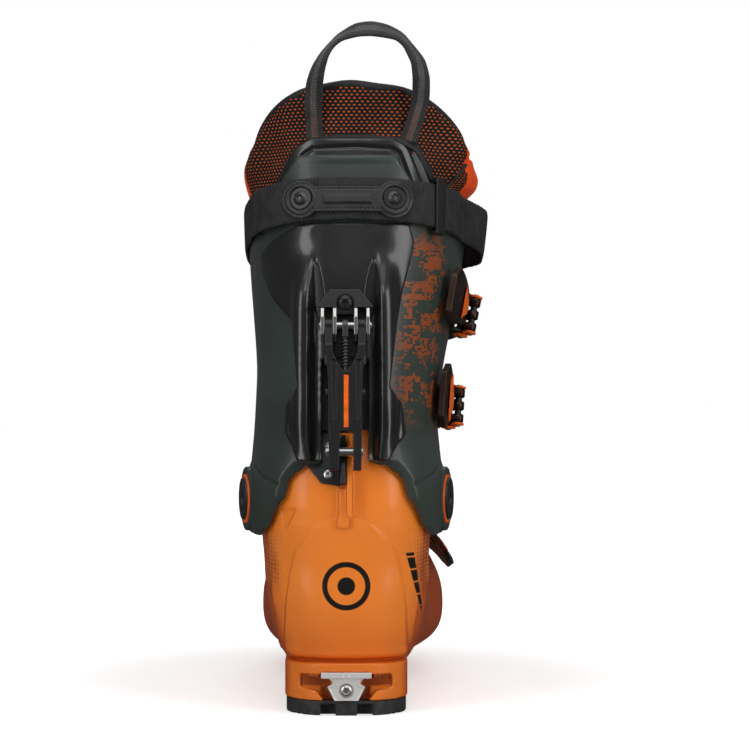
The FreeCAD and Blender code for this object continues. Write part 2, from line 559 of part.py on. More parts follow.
def make_cuff(parts):
    outer = tube_solid(skin_grid(CUFF_SECTIONS, LEG, 0, 11, 0.5))
    inner = tube_solid(skin_grid(CUFF_SECTIONS, LEG, 0, 11, 0.5, -CUFF_WALL))
    front_slit = box(-3, 3, -40, 90, 100, 420)
    cuff = outer.cut(inner).cut(front_slit)
    cuff = cuff.fuse(lap_flap(CUFF_SECTIONS, LEG, 4.0, 8.5, (3, 4.2), (9, 10)))
    above = side_prism(CUFF_UPPER).cut(rear_prism(REAR_TAB, -175, -100))
    low, high, top = LEVER_SLOT
    cuff = cuff.cut(side_prism(CUFF_LOWER)).cut(above).cut(box(low, high, -175, -125, 100, top))
    cuff = cuff.cut(axle_room())
    for side in (1, -1):
        near, far = Vector(side * 54, PIVOT_Y, PIVOT_Z), Vector(side * 60, PIVOT_Y, PIVOT_Z)
        boss = ring(19.0, PIVOT_RING_R + 0.2, near, far).fuse(Part.makeCone(
            22.5, 19.0, 3.0, near - Vector(side * 1, 0, 0), Vector(side, 0, 0)).cut(
            rod(PIVOT_RING_R + 0.2, near - Vector(side * 2, 0, 0), far)))
        cuff = cuff.fuse(boss)
        cuff = cuff.cut(rod(PIVOT_PIN_R + RUN_FIT, Vector(side * 40, PIVOT_Y, PIVOT_Z), far))
    parts["cuff"] = max(cuff.Solids, key=lambda solid: solid.Volume)


def axle_room():
    """Room for the mode lever's hubs to turn in."""
    return rod(5.0, LEVER_AXLE + Vector(-14.6, 0, 0), LEVER_AXLE + Vector(13.4, 0, 0))


def make_cuff_spine(parts):
    def height(place, angle):
        x = skin_point(CUFF_SECTIONS, LEG, place, angle).x
        middle = sum(SPINE_CHANNEL) / 2
        aside = abs(x - middle)
        ridge = smooth(aside, 17.2, 19.6) * (1 - smooth(aside, 22.5, 31))
        fade = 1 - smooth(place, 5.8, 6.8)
        along = smooth(place, 2.4, 3.4) * fade
        return 1.3 + 1.7 * smooth(aside, 16.6, 18.6) * fade + 5.0 * ridge * along

    spine = sheet_solid(skin_grid(CUFF_SECTIONS, LEG, 2.4, 7.6, 0.4, height, 136, 232, 44),
                        skin_grid(CUFF_SECTIONS, LEG, 2.4, 7.6, 0.4, PATCH_GAP, 136, 232, 44))
    spine = spine.common(rear_prism(SPINE_OUTLINE, -175, -90))
    low, high, top = LEVER_SLOT
    spine = spine.cut(box(low, high, -175, -125, 100, top)).cut(axle_room())
    parts["cuff_spine"] = max(spine.Solids, key=lambda solid: solid.Volume)
    rim = patch(CUFF_SECTIONS, LEG, 7.2, 9.2, 140, 220, -CUFF_WALL - 3.4, -CUFF_WALL - SKIN_GAP)
    edge = [(-44, 296), (-33, 318), (-28, 324), (-22, 327), (27, 327), (33, 324), (38, 318), (47, 296), (45, 284),
            (-42, 284)]
    parts["cuff_spoiler"] = rim.common(rear_prism(edge, -175, -90))


# ---------------------------------------------------------------- liner in the cuff
LINER_ARCH = [(-95, 280), (-61, 300), (-57, 325), (-50, 338.5), (-41, 348), (-26, 356.5), (-12, 359.5), (3, 360.5),
              (20, 359.5), (39, 355), (51, 350), (63, 340), (72, 327), (76, 319), (82, 305), (100, 280),
              (100, 60), (-95, 60)]
LINER_FRONT_R = 84.0        # the cuff liner's front starts this far from the cuff pivot


def liner_outside(place, angle):
    """Offset of the cuff liner's outside: within the cuff, then flaring above it."""
    rearward = smooth(angle, 118, 136) * (1 - smooth(angle, 224, 242))
    inside = -CUFF_WALL - LINER_GAP - 3.4 * rearward * smooth(place, 6.3, 7.0)
    start = 8.2 + 0.85 * rearward
    flare = smooth(place, start, start + 0.7)
    return inside + (1.0 - inside) * flare


def liner_inside(place, angle):
    return liner_outside(place, angle) - LINER_WALL


def cuff_liner_room():
    """Where the cuff's liner may be, clear of the shell and the foot liner as the cuff swings."""
    top = side_prism([(-180, 366), (-100, 366), (-60, 356), (40, 322), (40, 60), (-180, 60)])
    room = top.common(rear_prism(LINER_ARCH, -180, 60)).cut(pivot_cylinder(LINER_SPLIT_R + 2.0))
    room = room.cut(Part.makeCylinder(84, 11, Vector(-5.5, PIVOT_Y, PIVOT_Z), Vector(1, 0, 0)))
    slope = math.tan(math.radians(46))
    under = side_prism([(-76, 118), (124, 118 + 200 * slope), (124, -50), (-76, -50)])
    low_rear = side_prism([(-76, 150), (-180, 150), (-180, -50), (-76, -50)])
    front = pivot_cylinder(LINER_FRONT_R).cut(box(-200, 200, -400, -76, -200, 500))
    return room.cut(under).cut(low_rear).cut(front)


def make_cuff_liner(parts):
    outer = tube_solid(skin_grid(CUFF_SECTIONS, LEG, 1.0, 11, 0.5, liner_outside))
    inner = tube_solid(skin_grid(CUFF_SECTIONS, LEG, 0.5, 11, 0.5, liner_inside))
    liner = outer.cut(inner).common(cuff_liner_room())
    liner = liner.cut(box(-25, 25, -35, 60, 100, 420))
    parts["cuff_liner"] = max(liner.Solids, key=lambda solid: solid.Volume)
    sheet = patch(CUFF_SECTIONS, LEG, 4.4, 9.9, -30, 30, -CUFF_WALL - LINER_GAP - 6.0,
                  -CUFF_WALL - LINER_GAP, 0.5, 14)
    sheet = sheet.common(box(-24, 24, -60, 60, 100, 348)).cut(pivot_cylinder(LINER_FRONT_R))
    slope = math.tan(math.radians(46))
    under = side_prism([(-76, 118), (124, 118 + 200 * slope), (124, -50), (-76, -50)])
    parts["liner_tongue"] = max(sheet.cut(under).Solids, key=lambda solid: solid.Volume)


LOOP_PATH = [(-18.3, -128.5, 330), (-19.0, -129.5, 345), (-17.2, -131, 361), (-12, -132, 374), (-3.5, -132, 383.5),
             (6.3, -131.5, 387.5), (14.2, -131, 388.3), (22, -130, 387), (30, -128.5, 384), (37, -126.5, 376),
             (41.6, -124, 367), (42.8, -120.5, 350), (40, -118.5, 338), (37.2, -119.5, 330)]
LOOP_WIDTH = 10.0
LOOP_THICK = 2.2


def make_pull_loop(parts):
    rows_out, rows_in = [], []
    last = len(LOOP_PATH) - 1
    for index, point in enumerate(LOOP_PATH):
        before, after = Vector(*LOOP_PATH[max(index - 1, 0)]), Vector(*LOOP_PATH[min(index + 1, last)])
        run = after - before
        run.normalize()
        rear = Vector(0, -1, 0)
        rear = rear - run * rear.dot(run)
        rear.normalize()
        side = run.cross(rear)
        centre = Vector(*point)
        offsets = (-LOOP_WIDTH / 2, -LOOP_WIDTH / 4, 0, LOOP_WIDTH / 4, LOOP_WIDTH / 2)
        rows_out.append([centre + side * a + rear * LOOP_THICK for a in offsets])
        rows_in.append([centre + side * a for a in offsets])
    parts["pull_loop"] = sheet_solid(rows_out, rows_in)


# ---------------------------------------------------------------- mode lever
LEVER_AXLE = Vector(0, -150.0, 219.0)
LEVER_MIDDLE = -0.6
LEVER_BODY = [(-11.4, 207.7), (11.4, 207.7), (9.6, 190), (9.3, 162), (8.9, 137.2), (-8.9, 137.2), (-9.3, 162),
              (-9.6, 190)]
LEVER_CUT = [(-6.9, 209), (-6.9, 203), (-2.2, 193), (2.2, 193), (6.9, 203), (6.9, 209)]
FORK_HALF = 3.9
FORK_TOP = 158.8
LEVER_REST = -7.0           # the lever stands this many degrees out from its locked place
EAR_X = [(-14.4, -12.4), (-7.5, -5.5), (4.3, 6.3), (11.2, 13.2)]
ARM_X = [(-12.2, -7.7), (6.5, 11.0)]


def lever_rest(shape):
    shape.rotate(LEVER_AXLE, Vector(1, 0, 0), LEVER_REST)
    return shape


def shifted(outline, step):
    return [(x + step, z) for x, z in outline]


def make_mode_lever(parts):
    body = rear_prism(shifted(LEVER_BODY, LEVER_MIDDLE), -157, -150.6)
    feet = side_prism([(-156, 164), (-150.6, 164), (-145.9, 160), (-145.9, 148.5), (-149.3, 137.2),
                       (-157, 137.2)], -11, 11)
    feet = feet.common(rear_prism(shifted(LEVER_BODY, LEVER_MIDDLE), -160, -140))
    body = body.fuse(feet).cut(rear_prism(shifted(LEVER_CUT, LEVER_MIDDLE), -160, -140))
    for x0, x1 in ARM_X:
        arm = side_prism([(-157, 196), (-150.6, 196), (-146.4, 216), (-153.6, 222)], x0, x1)
        body = body.fuse(arm).fuse(rod(4.4, LEVER_AXLE + Vector(x0, 0, 0), LEVER_AXLE + Vector(x1, 0, 0)))
    body = body.cut(box(-FORK_HALF, FORK_HALF, -165, -140, 130, FORK_TOP))
    body = body.cut(rod(2.3 + RUN_FIT, LEVER_AXLE - Vector(20, 0, 0), LEVER_AXLE + Vector(20, 0, 0)))
    body = body.cut(rod(LATCH_PIN_R + 0.02, LATCH_PIN - Vector(20, 0, 0), LATCH_PIN + Vector(20, 0, 0)))
    body = body.cut(box(-1.5, 1.3, -158, -156.2, 161, 190.5))
    for side in (1, -1):
        start = Vector(LEVER_MIDDLE + side * 9.0, -153.6, 180.6)
        body = body.fuse(rod(2.6, start, start + Vector(side * 2.2, 0, 0)))
        scoop = [(side * 5.2, 199), (side * 8.4, 199), (side * 7.4, 166), (side * 6.0, 166)]
        body = body.cut(rear_prism(scoop, -158, -156))
    parts["mode_lever"] = lever_rest(body)
    parts["lever_stripe"] = lever_rest(box(-1.4, 1.2, -157.3, -156.3, 161.1, 190.4))
    pin = rod(LATCH_PIN_R, LATCH_PIN - Vector(11.5, 0, 0), LATCH_PIN + Vector(9.3, 0, 0))
    parts["latch_pin"] = lever_rest(pin)
    parts["lever_spring"] = lever_rest(coil_spring())
    guide = rod(1.1, Vector(LEVER_MIDDLE, -153.6, 193.1), Vector(LEVER_MIDDLE, -152.0, 212.5))
    near, far = LEVER_MIDDLE - 1.6, LEVER_MIDDLE + 1.6
    guide = guide.fuse(box(near, far, -154.6, -149.4, 212, 219))
    guide = guide.fuse(rod(3.6, LEVER_AXLE + Vector(near, 0, 0), LEVER_AXLE + Vector(far, 0, 0)))
    hole = rod(2.3 + RUN_FIT, LEVER_AXLE - Vector(20, 0, 0), LEVER_AXLE + Vector(20, 0, 0))
    parts["spring_guide"] = lever_rest(guide.cut(hole))


def coil_spring():
    """The coil round the spring guide."""
    coil_r, wire_r, pitch, length = 2.0, 0.45, 1.9, 16.6
    helix = Part.makeHelix(pitch, length, coil_r)
    circle = Part.Wire([Part.makeCircle(wire_r, Vector(coil_r, 0, 0), Vector(0, 1, 0))])
    coil = Part.Wire(helix).makePipeShell([circle], True, True)
    run = Vector(0, -152.0, 212.5) - Vector(0, -153.6, 193.1)
    coil.rotate(Vector(0, 0, 0), Vector(1, 0, 0), -math.degrees(math.atan2(run.y, run.z)))
    coil.translate(Vector(LEVER_MIDDLE, -153.5, 194.6))
    return coil


def make_lever_mount(parts):
    ears = []
    for x0, x1 in EAR_X:
        ear = side_prism([(-151, 210), (-147.6, 210), (-145.6, 215), (-144.6, 229), (-152, 229), (-154.6, 224),
                          (-154.6, 214)], x0, x1)
        ears.append(ear.cut(rod(2.3, LEVER_AXLE + Vector(x0 - 1, 0, 0), LEVER_AXLE + Vector(x1 + 1, 0, 0))))
    parts["lever_ears"] = Part.makeCompound(ears)
    start, end = LEVER_AXLE + Vector(-15.0, 0, 0), LEVER_AXLE + Vector(14.2, 0, 0)
    parts["lever_axle"] = rod(2.28, start, end)
    block = side_prism([(-152.5, 229.1), (-145.0, 229.1), (-144.0, 240), (-149.5, 240)])
    outline = [(-16.3, 229), (14.7, 229), (14.7, 230.5), (7.7, 239.4), (-9.3, 239.4), (-16.3, 230.5)]
    block = block.common(rear_prism(outline, -170, -130))
    low = box(-5.3, 4.1, -150.5, -146.6, 225.2, 229.2)
    bracket = block.fuse(low)
    seat = Vector(-0.6, -150.2, 231.6)
    bracket = bracket.cut(rod(4.9, seat - Vector(0, 8, 0), seat)).cut(rod(2.5, seat, seat + Vector(0, 12, 0)))
    parts["lever_bracket"] = max(bracket.Solids, key=lambda solid: solid.Volume)
    parts["bracket_bolt"] = dome_screw(seat - Vector(0, 0.05, 0), Vector(0, -1, 0), 4.7, 2.4, 2.4, 4.5)


# ---------------------------------------------------------------- power strap
STRAP_PLACES = (7.25, 8.05)
STRAP_THICK = 2.0
ANCHOR_X = (-26.1, 27.4)
ANCHOR_Z = 291.0


def strap_under(place, angle):
    """Offset of the strap's inner face: over the spine, standing off on the lateral side, over the flap."""
    angle = angle % 360
    rear = smooth(angle, 118, 132) * (1 - smooth(angle, 222, 240))
    stand = smooth(angle, 62, 84) * (1 - smooth(angle, 96, 122))
    front = 1 - smooth(abs((angle + 180) % 360 - 180), 40, 60)
    return 0.6 + 2.8 * rear + 9.5 * stand + 4.2 * front


def strap_over(place, angle):
    return strap_under(place, angle) + STRAP_THICK


def dogbone(half_bar):
    """The strap anchor's outline: two discs joined by a bar."""
    plate = box(ANCHOR_X[0], ANCHOR_X[1], -175, -90, ANCHOR_Z - half_bar, ANCHOR_Z + half_bar)
    for x in ANCHOR_X:
        plate = plate.fuse(rod(10.8, Vector(x, -175, ANCHOR_Z), Vector(x, -90, ANCHOR_Z)))
    return plate


def make_power_strap(parts):
    first, last = STRAP_PLACES
    rows = dict(first=first, last=last, step=0.2, start=28.0, end=386.0, around=72)
    parts["power_strap"] = sheet_solid(skin_grid(CUFF_SECTIONS, LEG, offset=strap_over, **rows),
                                       skin_grid(CUFF_SECTIONS, LEG, offset=strap_under, **rows))

    def tail_under(place, angle):
        return strap_over(place, angle) + 0.5 + 1.6 * (1 - smooth(angle, 22, 34))

    parts["strap_tail"] = patch(CUFF_SECTIONS, LEG, first + 0.04, last - 0.04, 8, 76, tail_under,
                                lambda p, a: tail_under(p, a) + 1.6, 0.2, 16)
    plate = patch(CUFF_SECTIONS, LEG, 6.9, 8.5, 138, 226, lambda p, a: strap_over(p, a) + 0.1,
                  lambda p, a: strap_over(p, a) + 2.9, 0.2, 30)
    rib = patch(CUFF_SECTIONS, LEG, 6.9, 8.5, 138, 226, lambda p, a: strap_over(p, a) + 2.0,
                lambda p, a: strap_over(p, a) + 4.4, 0.2, 30)
    bar = box(ANCHOR_X[0] + 13, ANCHOR_X[1] - 13, -175, -90, ANCHOR_Z - 2.2, ANCHOR_Z + 2.2)
    plate = plate.common(dogbone(7.2)).fuse(rib.common(bar))
    screws, washers = [], []
    for x in ANCHOR_X:
        seat, outward = strap_point_at(x)
        plate = plate.cut(rod(6.8, seat + outward * 1.4, seat + outward * 8))
        plate = plate.cut(rod(1.9, seat - outward * 3, seat + outward * 3))
        washer = ring(6.5, 1.9, seat + outward * 1.5, seat + outward * 2.7)
        washers.append(washer)
        screws.append(dome_screw(seat + outward * 2.75, outward, 4.2, 2.0, 1.8, 2.4))
    parts["strap_anchor"] = max(plate.Solids, key=lambda solid: solid.Volume)
    parts["anchor_washers"] = Part.makeCompound(washers)
    parts["anchor_screws"] = Part.makeCompound(screws)
    frame = patch(CUFF_SECTIONS, LEG, first - 0.1, last + 0.1, 138.6, 143, lambda p, a: strap_under(p, a) - 1.8,
                  lambda p, a: strap_over(p, a) + 1.9, 0.1, 6)
    gap = patch(CUFF_SECTIONS, LEG, first - 0.03, last + 0.03, 137, 145, lambda p, a: strap_under(p, a) - 0.15,
                lambda p, a: strap_over(p, a) + 0.15, 0.1, 8)
    slider = frame.cut(gap)
    parts["strap_slider"] = max(slider.Solids, key=lambda solid: solid.Volume)


def strap_point_at(x):
    """Point on the strap's outer face behind the leg, and the outward direction there, such that a screw head
    standing on it is centred at x."""
    place, head_height = 7.66, 3.0
    best = None
    for step in range(0, 400):
        angle = 140 + step * 0.2
        point, outward = skin_frame(CUFF_SECTIONS, LEG, place, angle)[::3]
        seat = point + outward * strap_over(place, angle)
        miss = abs((seat + outward * head_height).x - x)
        if best is None or miss < best[0]:
            best = (miss, seat, outward)
    return best[1], best[2]


# ---------------------------------------------------------------- buckles
BAR_R = 1.4                 # bail wire
ARM_U = 5.0                 # bail arms either side of the buckle's middle
PIN_UP = 6.5                # hinge pin height over the skin
BARREL_AT = (-5.5, 11.5)    # bail barrel in the closed lever: forward and outward of the hinge foot
TOOTH_PITCH = 7.2
LADDER_BASE = 1.9           # top of the ladder's plate over the flap

# kind, sections, place, hinge angle, degrees of skin under the handle, handle length and half widths,
# how far the handle tip lifts off, ladder place and ladder angle.
BUCKLES = {
    "upper": (LEG, 6.15, 92.0, 56.0, 50.0, 8.0, 17.0, 1.0, 6.3, -2.0),
    "middle": (LEG, 4.35, 90.0, 56.0, 44.0, 8.5, 19.0, 0.0, 5.5, -2.0),
    "instep": (FOOT, 7.0, 44.0, 44.0, 36.0, 7.5, 14.0, 9.0, 6.8, -12.0),
    "toe": (FOOT, 4.7, 46.0, 40.0, 32.0, 7.5, 13.0, 5.0, 4.9, -10.0),
}


def buckle_frame(kind, sections, place, angle):
    point, forward, upward, outward = skin_frame(sections, kind, place, angle)
    if upward.dot(Vector(0, 0.2, 1)) < 0:
        upward = upward * -1
    return point, forward, upward, outward


def at(frame, f, u, o):
    """A point given forward, up the boot and outward from a frame's origin."""
    point, forward, upward, outward = frame
    return point + forward * f + upward * u + outward * o


def cheek(frame, outline, u0, u1):
    """A (forward, outward) outline carried along the hinge direction."""
    points = [at(frame, f, u0, o) for f, o in outline]
    return polygon_face(points).extrude(frame[2] * (u1 - u0))


def plan_cut(frame, outline, o0=-20.0, o1=45.0):
    """A (forward, up) outline carried outward."""
    points = [at(frame, f, u, o0) for f, u in outline]
    return polygon_face(points).extrude(frame[3] * (o1 - o0))


def wire(points, radius):
    """A round wire through points."""
    curve = Part.BSplineCurve()
    curve.interpolate(points)
    circle = Part.Wire([Part.makeCircle(radius, points[0], curve.tangent(curve.FirstParameter)[0])])
    return Part.Wire([curve.toShape()]).makePipeShell([circle], True, True)


def make_buckle(parts, name):
    kind, place, hinge, sweep, length, root, tip, lift, ladder_place, ladder_angle = BUCKLES[name]
    sections = SHELL_SECTIONS if kind == FOOT else CUFF_SECTIONS
    frame = buckle_frame(kind, sections, place, hinge)
    pin = at(frame, 0, 0, PIN_UP)
    barrel = at(frame, BARREL_AT[0], 0, BARREL_AT[1])
    up, out = frame[2], frame[3]
    reach = 0.75 if kind == LEG else 1.4

    base = patch(sections, kind, place - reach, place + reach, hinge - 24, hinge + 20, PATCH_GAP, 2.2, 0.3, 12)
    base = base.common(plan_cut(frame, [(-14, -8), (-9, -11.4), (14, -11.4), (19, -7), (19, 7), (14, 11.4),
                                        (-9, 11.4), (-14, 8)]))
    for u0 in (-11.2, 9.2):
        ear = [(-7, 0.9), (9, 0.9), (6, 7.6), (2.5, 9.8), (-2.5, 9.8), (-5, 6)]
        base = base.fuse(cheek(frame, ear, u0, u0 + 2))
    parts[name + "_buckle_base"] = base.cut(rod(1.95, pin - up * 20, pin + up * 20))

    shaft = rod(1.93, pin - up * 11.8, pin + up * 11.8)
    for side in (1, -1):
        shaft = shaft.fuse(rod(2.9, pin + up * side * 11.3, pin + up * side * 12.2))

    def under(p, a):
        return 4.6 + lift * smooth(a - hinge, 0, sweep)

    def over(p, a):
        return under(p, a) + 3.4

    def trim(inset, start, end):
        """The handle's plan outline, inset from its sides, between two distances behind the pin."""
        mid, waist = (start + end) / 2, (root + tip) / 2 - inset
        near, far = root - inset, tip - inset
        return [(-start, -near), (-start, near), (-mid, waist), (-end + 5, far), (-end, far - 6), (-end, -far + 6),
                (-end + 5, -far), (-mid, -waist)]

    handle = patch(sections, kind, place - reach, place + reach, hinge + 4, hinge + sweep, under, over, 0.3, 14)
    handle = handle.common(plan_cut(frame, trim(0, 10, length)))
    for u0 in (-8.8, 6.7):
        outline = [(-19, 5.2), (-5, 3.4), (1.4, 3.4), (3.3, 6.5), (1, 11.5), (-3, 14.4), (-7.5, 14.2),
                   (-12, 9.2), (-19, 8.0)]
        handle = handle.fuse(cheek(frame, outline, u0, u0 + 2.1))
    window = plan_cut(frame, trim(4.6, 18, length - 7), 6.9, 45)
    lever = handle.cut(window).cut(rod(1.93 + RUN_FIT, pin - up * 20, pin + up * 20))
    lever = lever.cut(rod(2.0 + 0.02, barrel - up * 20, barrel + up * 20))
    parts[name + "_buckle_lever"] = max(lever.Solids, key=lambda solid: solid.Volume)
    grip = patch(sections, kind, place - reach, place + reach, hinge + 6, hinge + sweep,
                 lambda p, a: over(p, a) - 1.0, lambda p, a: over(p, a) + 0.9, 0.3, 14)
    grip = grip.common(plan_cut(frame, trim(4.9, 18.4, length - 7.4), 5, 45))
    grip = grip.cut(parts[name + "_buckle_lever"])
    parts[name + "_buckle_grip"] = max(grip.Solids, key=lambda solid: solid.Volume)

    bar_height = FLAP_HEIGHT + LADDER_BASE + BAR_R + 1.0
    steps = 9
    arms = []
    ends = []
    for side in (1, -1):
        path = [barrel + up * side * ARM_U, at(frame, 0, side * ARM_U, 11.6), at(frame, 8, side * ARM_U, 10.2)]
        for index in range(2, steps + 1):
            share = index / steps
            angle = hinge + (ladder_angle - hinge) * share
            where = place + (ladder_place - place) * smooth(share, 0, 1)
            local = buckle_frame(kind, sections, where, angle)
            height = 9.0 + (bar_height - 9.0) * smooth(share, 0.1, 0.8)
            path.append(at(local, 0, side * ARM_U, height))
        arms.append(wire(path, BAR_R))
        ends.append(path[-1])
    bail = arms[0].fuse(arms[1]).fuse(rod(2.0, barrel - up * 8.7, barrel + up * 8.7))
    cross = ends[0] - ends[1]
    cross.normalize()
    bail = bail.fuse(rod(BAR_R + 0.1, ends[1] - cross * 1.6, ends[0] + cross * 1.6))
    parts[name + "_buckle_bail"] = bail

    local = buckle_frame(kind, sections, ladder_place, ladder_angle)
    wide = 0.5 if kind == LEG else 0.8
    ladder = patch(sections, kind, ladder_place - wide, ladder_place + wide, ladder_angle - 20,
                   ladder_angle + 26, FLAP_HEIGHT + PATCH_GAP, FLAP_HEIGHT + LADDER_BASE, 0.25, 16)
    ladder = ladder.common(plan_cut(local, [(-13.5, -7.5), (-11, -9.5), (16, -9.5), (18.5, -7.5), (18.5, 7.5),
                                            (16, 9.5), (-11, 9.5), (-13.5, 7.5)]))
    for step in (-2, -1, 0, 1):
        middle = 3.1 + step * TOOTH_PITCH
        tooth = cheek(local, [(middle - 1.2, FLAP_HEIGHT + 0.6), (middle + 1.2, FLAP_HEIGHT + 0.6),
                              (middle + 1.0, FLAP_HEIGHT + 4.4), (middle - 0.4, FLAP_HEIGHT + 4.4)], -2.5, 2.5)
        ladder = ladder.fuse(tooth)
    parts[name + "_ladder"] = max(ladder.Solids, key=lambda solid: solid.Volume)
    return shaft, pin, out.cross(frame[1]), barrel


def joint_note(name, pin, up, barrel):
    print("joint %s pin (%.3f, %.3f, %.3f) barrel (%.3f, %.3f, %.3f) axis (%.5f, %.5f, %.5f)"
          % ((name,) + tuple(pin) + tuple(barrel) + tuple(up)))


# ---------------------------------------------------------------- build
def main():
    parts = {}
    make_lower_shell(parts)
    make_sole(parts)
    make_fittings(parts)
    make_pivots(parts)
    make_foot_liner(parts)
    make_spine(parts)
    make_cuff(parts)
    make_cuff_spine(parts)
    make_cuff_liner(parts)
    make_pull_loop(parts)
    make_mode_lever(parts)
    make_lever_mount(parts)
    make_power_strap(parts)
    shafts = {}
    for name in BUCKLES:
        shaft, pin, up, barrel = make_buckle(parts, name)
        shafts[name] = shaft
        joint_note(name, pin, up, barrel)
    parts["cuff_buckle_pins"] = Part.makeCompound([shafts["upper"], shafts["middle"]])
    parts["shell_buckle_pins"] = Part.makeCompound([shafts["instep"], shafts["toe"]])
    os.makedirs("parts", exist_ok=True)
    for name, shape in parts.items():
        save(name, shape)


main()
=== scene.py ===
"""Looks of a right-foot alpine touring boot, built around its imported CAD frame.

Frame: +X lateral, +Y towards the toe, +Z up. Sizes are in mm and MM turns them into metres; lights and camera
are placed in metres. The camera stands behind the heel.
"""
import json
import math

import bpy
import numpy as np
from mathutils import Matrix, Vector
from mathutils.bvhtree import BVHTree

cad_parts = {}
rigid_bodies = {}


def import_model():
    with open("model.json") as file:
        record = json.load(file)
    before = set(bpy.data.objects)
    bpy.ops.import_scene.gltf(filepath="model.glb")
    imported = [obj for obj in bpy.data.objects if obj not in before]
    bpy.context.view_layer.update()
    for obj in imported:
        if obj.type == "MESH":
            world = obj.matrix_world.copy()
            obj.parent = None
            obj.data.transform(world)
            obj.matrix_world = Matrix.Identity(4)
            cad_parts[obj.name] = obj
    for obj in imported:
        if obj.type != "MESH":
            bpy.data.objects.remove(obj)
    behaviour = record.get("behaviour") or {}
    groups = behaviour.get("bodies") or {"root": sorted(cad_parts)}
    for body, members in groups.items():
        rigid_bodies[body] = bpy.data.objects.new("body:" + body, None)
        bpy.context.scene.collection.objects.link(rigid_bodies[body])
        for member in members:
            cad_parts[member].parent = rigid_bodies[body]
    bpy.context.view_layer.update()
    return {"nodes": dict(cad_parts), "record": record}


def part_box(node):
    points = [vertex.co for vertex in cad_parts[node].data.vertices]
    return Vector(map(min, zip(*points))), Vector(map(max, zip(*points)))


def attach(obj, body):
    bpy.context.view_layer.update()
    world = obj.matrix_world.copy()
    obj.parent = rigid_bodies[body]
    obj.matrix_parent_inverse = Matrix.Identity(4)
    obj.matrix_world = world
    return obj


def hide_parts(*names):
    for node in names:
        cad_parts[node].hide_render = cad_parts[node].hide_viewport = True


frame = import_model()
NODES = frame["nodes"]
MM = 0.001
BODY_OF = {node: body for body, nodes in frame["record"]["behaviour"]["bodies"].items() for node in nodes}

PIVOT = (-76.0, 118.0)          # cuff pivot in the (y, z) plane, mm
LEG_AXIS_Y = -56.0              # middle of the leg opening, mm


# ---------------------------------------------------------------- materials
class Value:
    """A number inside a material's node tree; arithmetic on it adds math nodes."""

    def __init__(self, tree, socket):
        self.tree = tree
        self.socket = socket

    def op(self, kind, other=None, third=None, clamp=False):
        node = self.tree.nodes.new("ShaderNodeMath")
        node.operation = kind
        node.use_clamp = clamp
        for index, item in enumerate((self, other, third)):
            if isinstance(item, Value):
                self.tree.links.new(item.socket, node.inputs[index])
            elif item is not None:
                node.inputs[index].default_value = item
        return Value(self.tree, node.outputs[0])

    def __add__(self, other):
        return self.op("ADD", other)

    def __sub__(self, other):
        return self.op("SUBTRACT", other)

    def __mul__(self, other):
        return self.op("MULTIPLY", other)

    def __truediv__(self, other):
        return self.op("DIVIDE", other)

    def __neg__(self):
        return self * -1.0

    def ramp(self, low, high):
        """0 below low, 1 above high, smooth between; low may be above high."""
        node = self.tree.nodes.new("ShaderNodeMapRange")
        node.interpolation_type = "SMOOTHSTEP"
        self.tree.links.new(self.socket, node.inputs[0])
        swap = low > high
        node.inputs[1].default_value = min(low, high)
        node.inputs[2].default_value = max(low, high)
        node.inputs[3].default_value = 1.0 if swap else 0.0
        node.inputs[4].default_value = 0.0 if swap else 1.0
        return Value(self.tree, node.outputs[0])

    def inside(self, low, high, soft):
        return self.ramp(low - soft, low + soft) * self.ramp(high + soft, high - soft)

    def either(self, other):
        return self.op("MAXIMUM", other)

    def snap(self, step):
        return self.op("SNAP", step)

    def away(self, centre):
        """Distance from a centre value."""
        return (self - centre).op("ABSOLUTE")


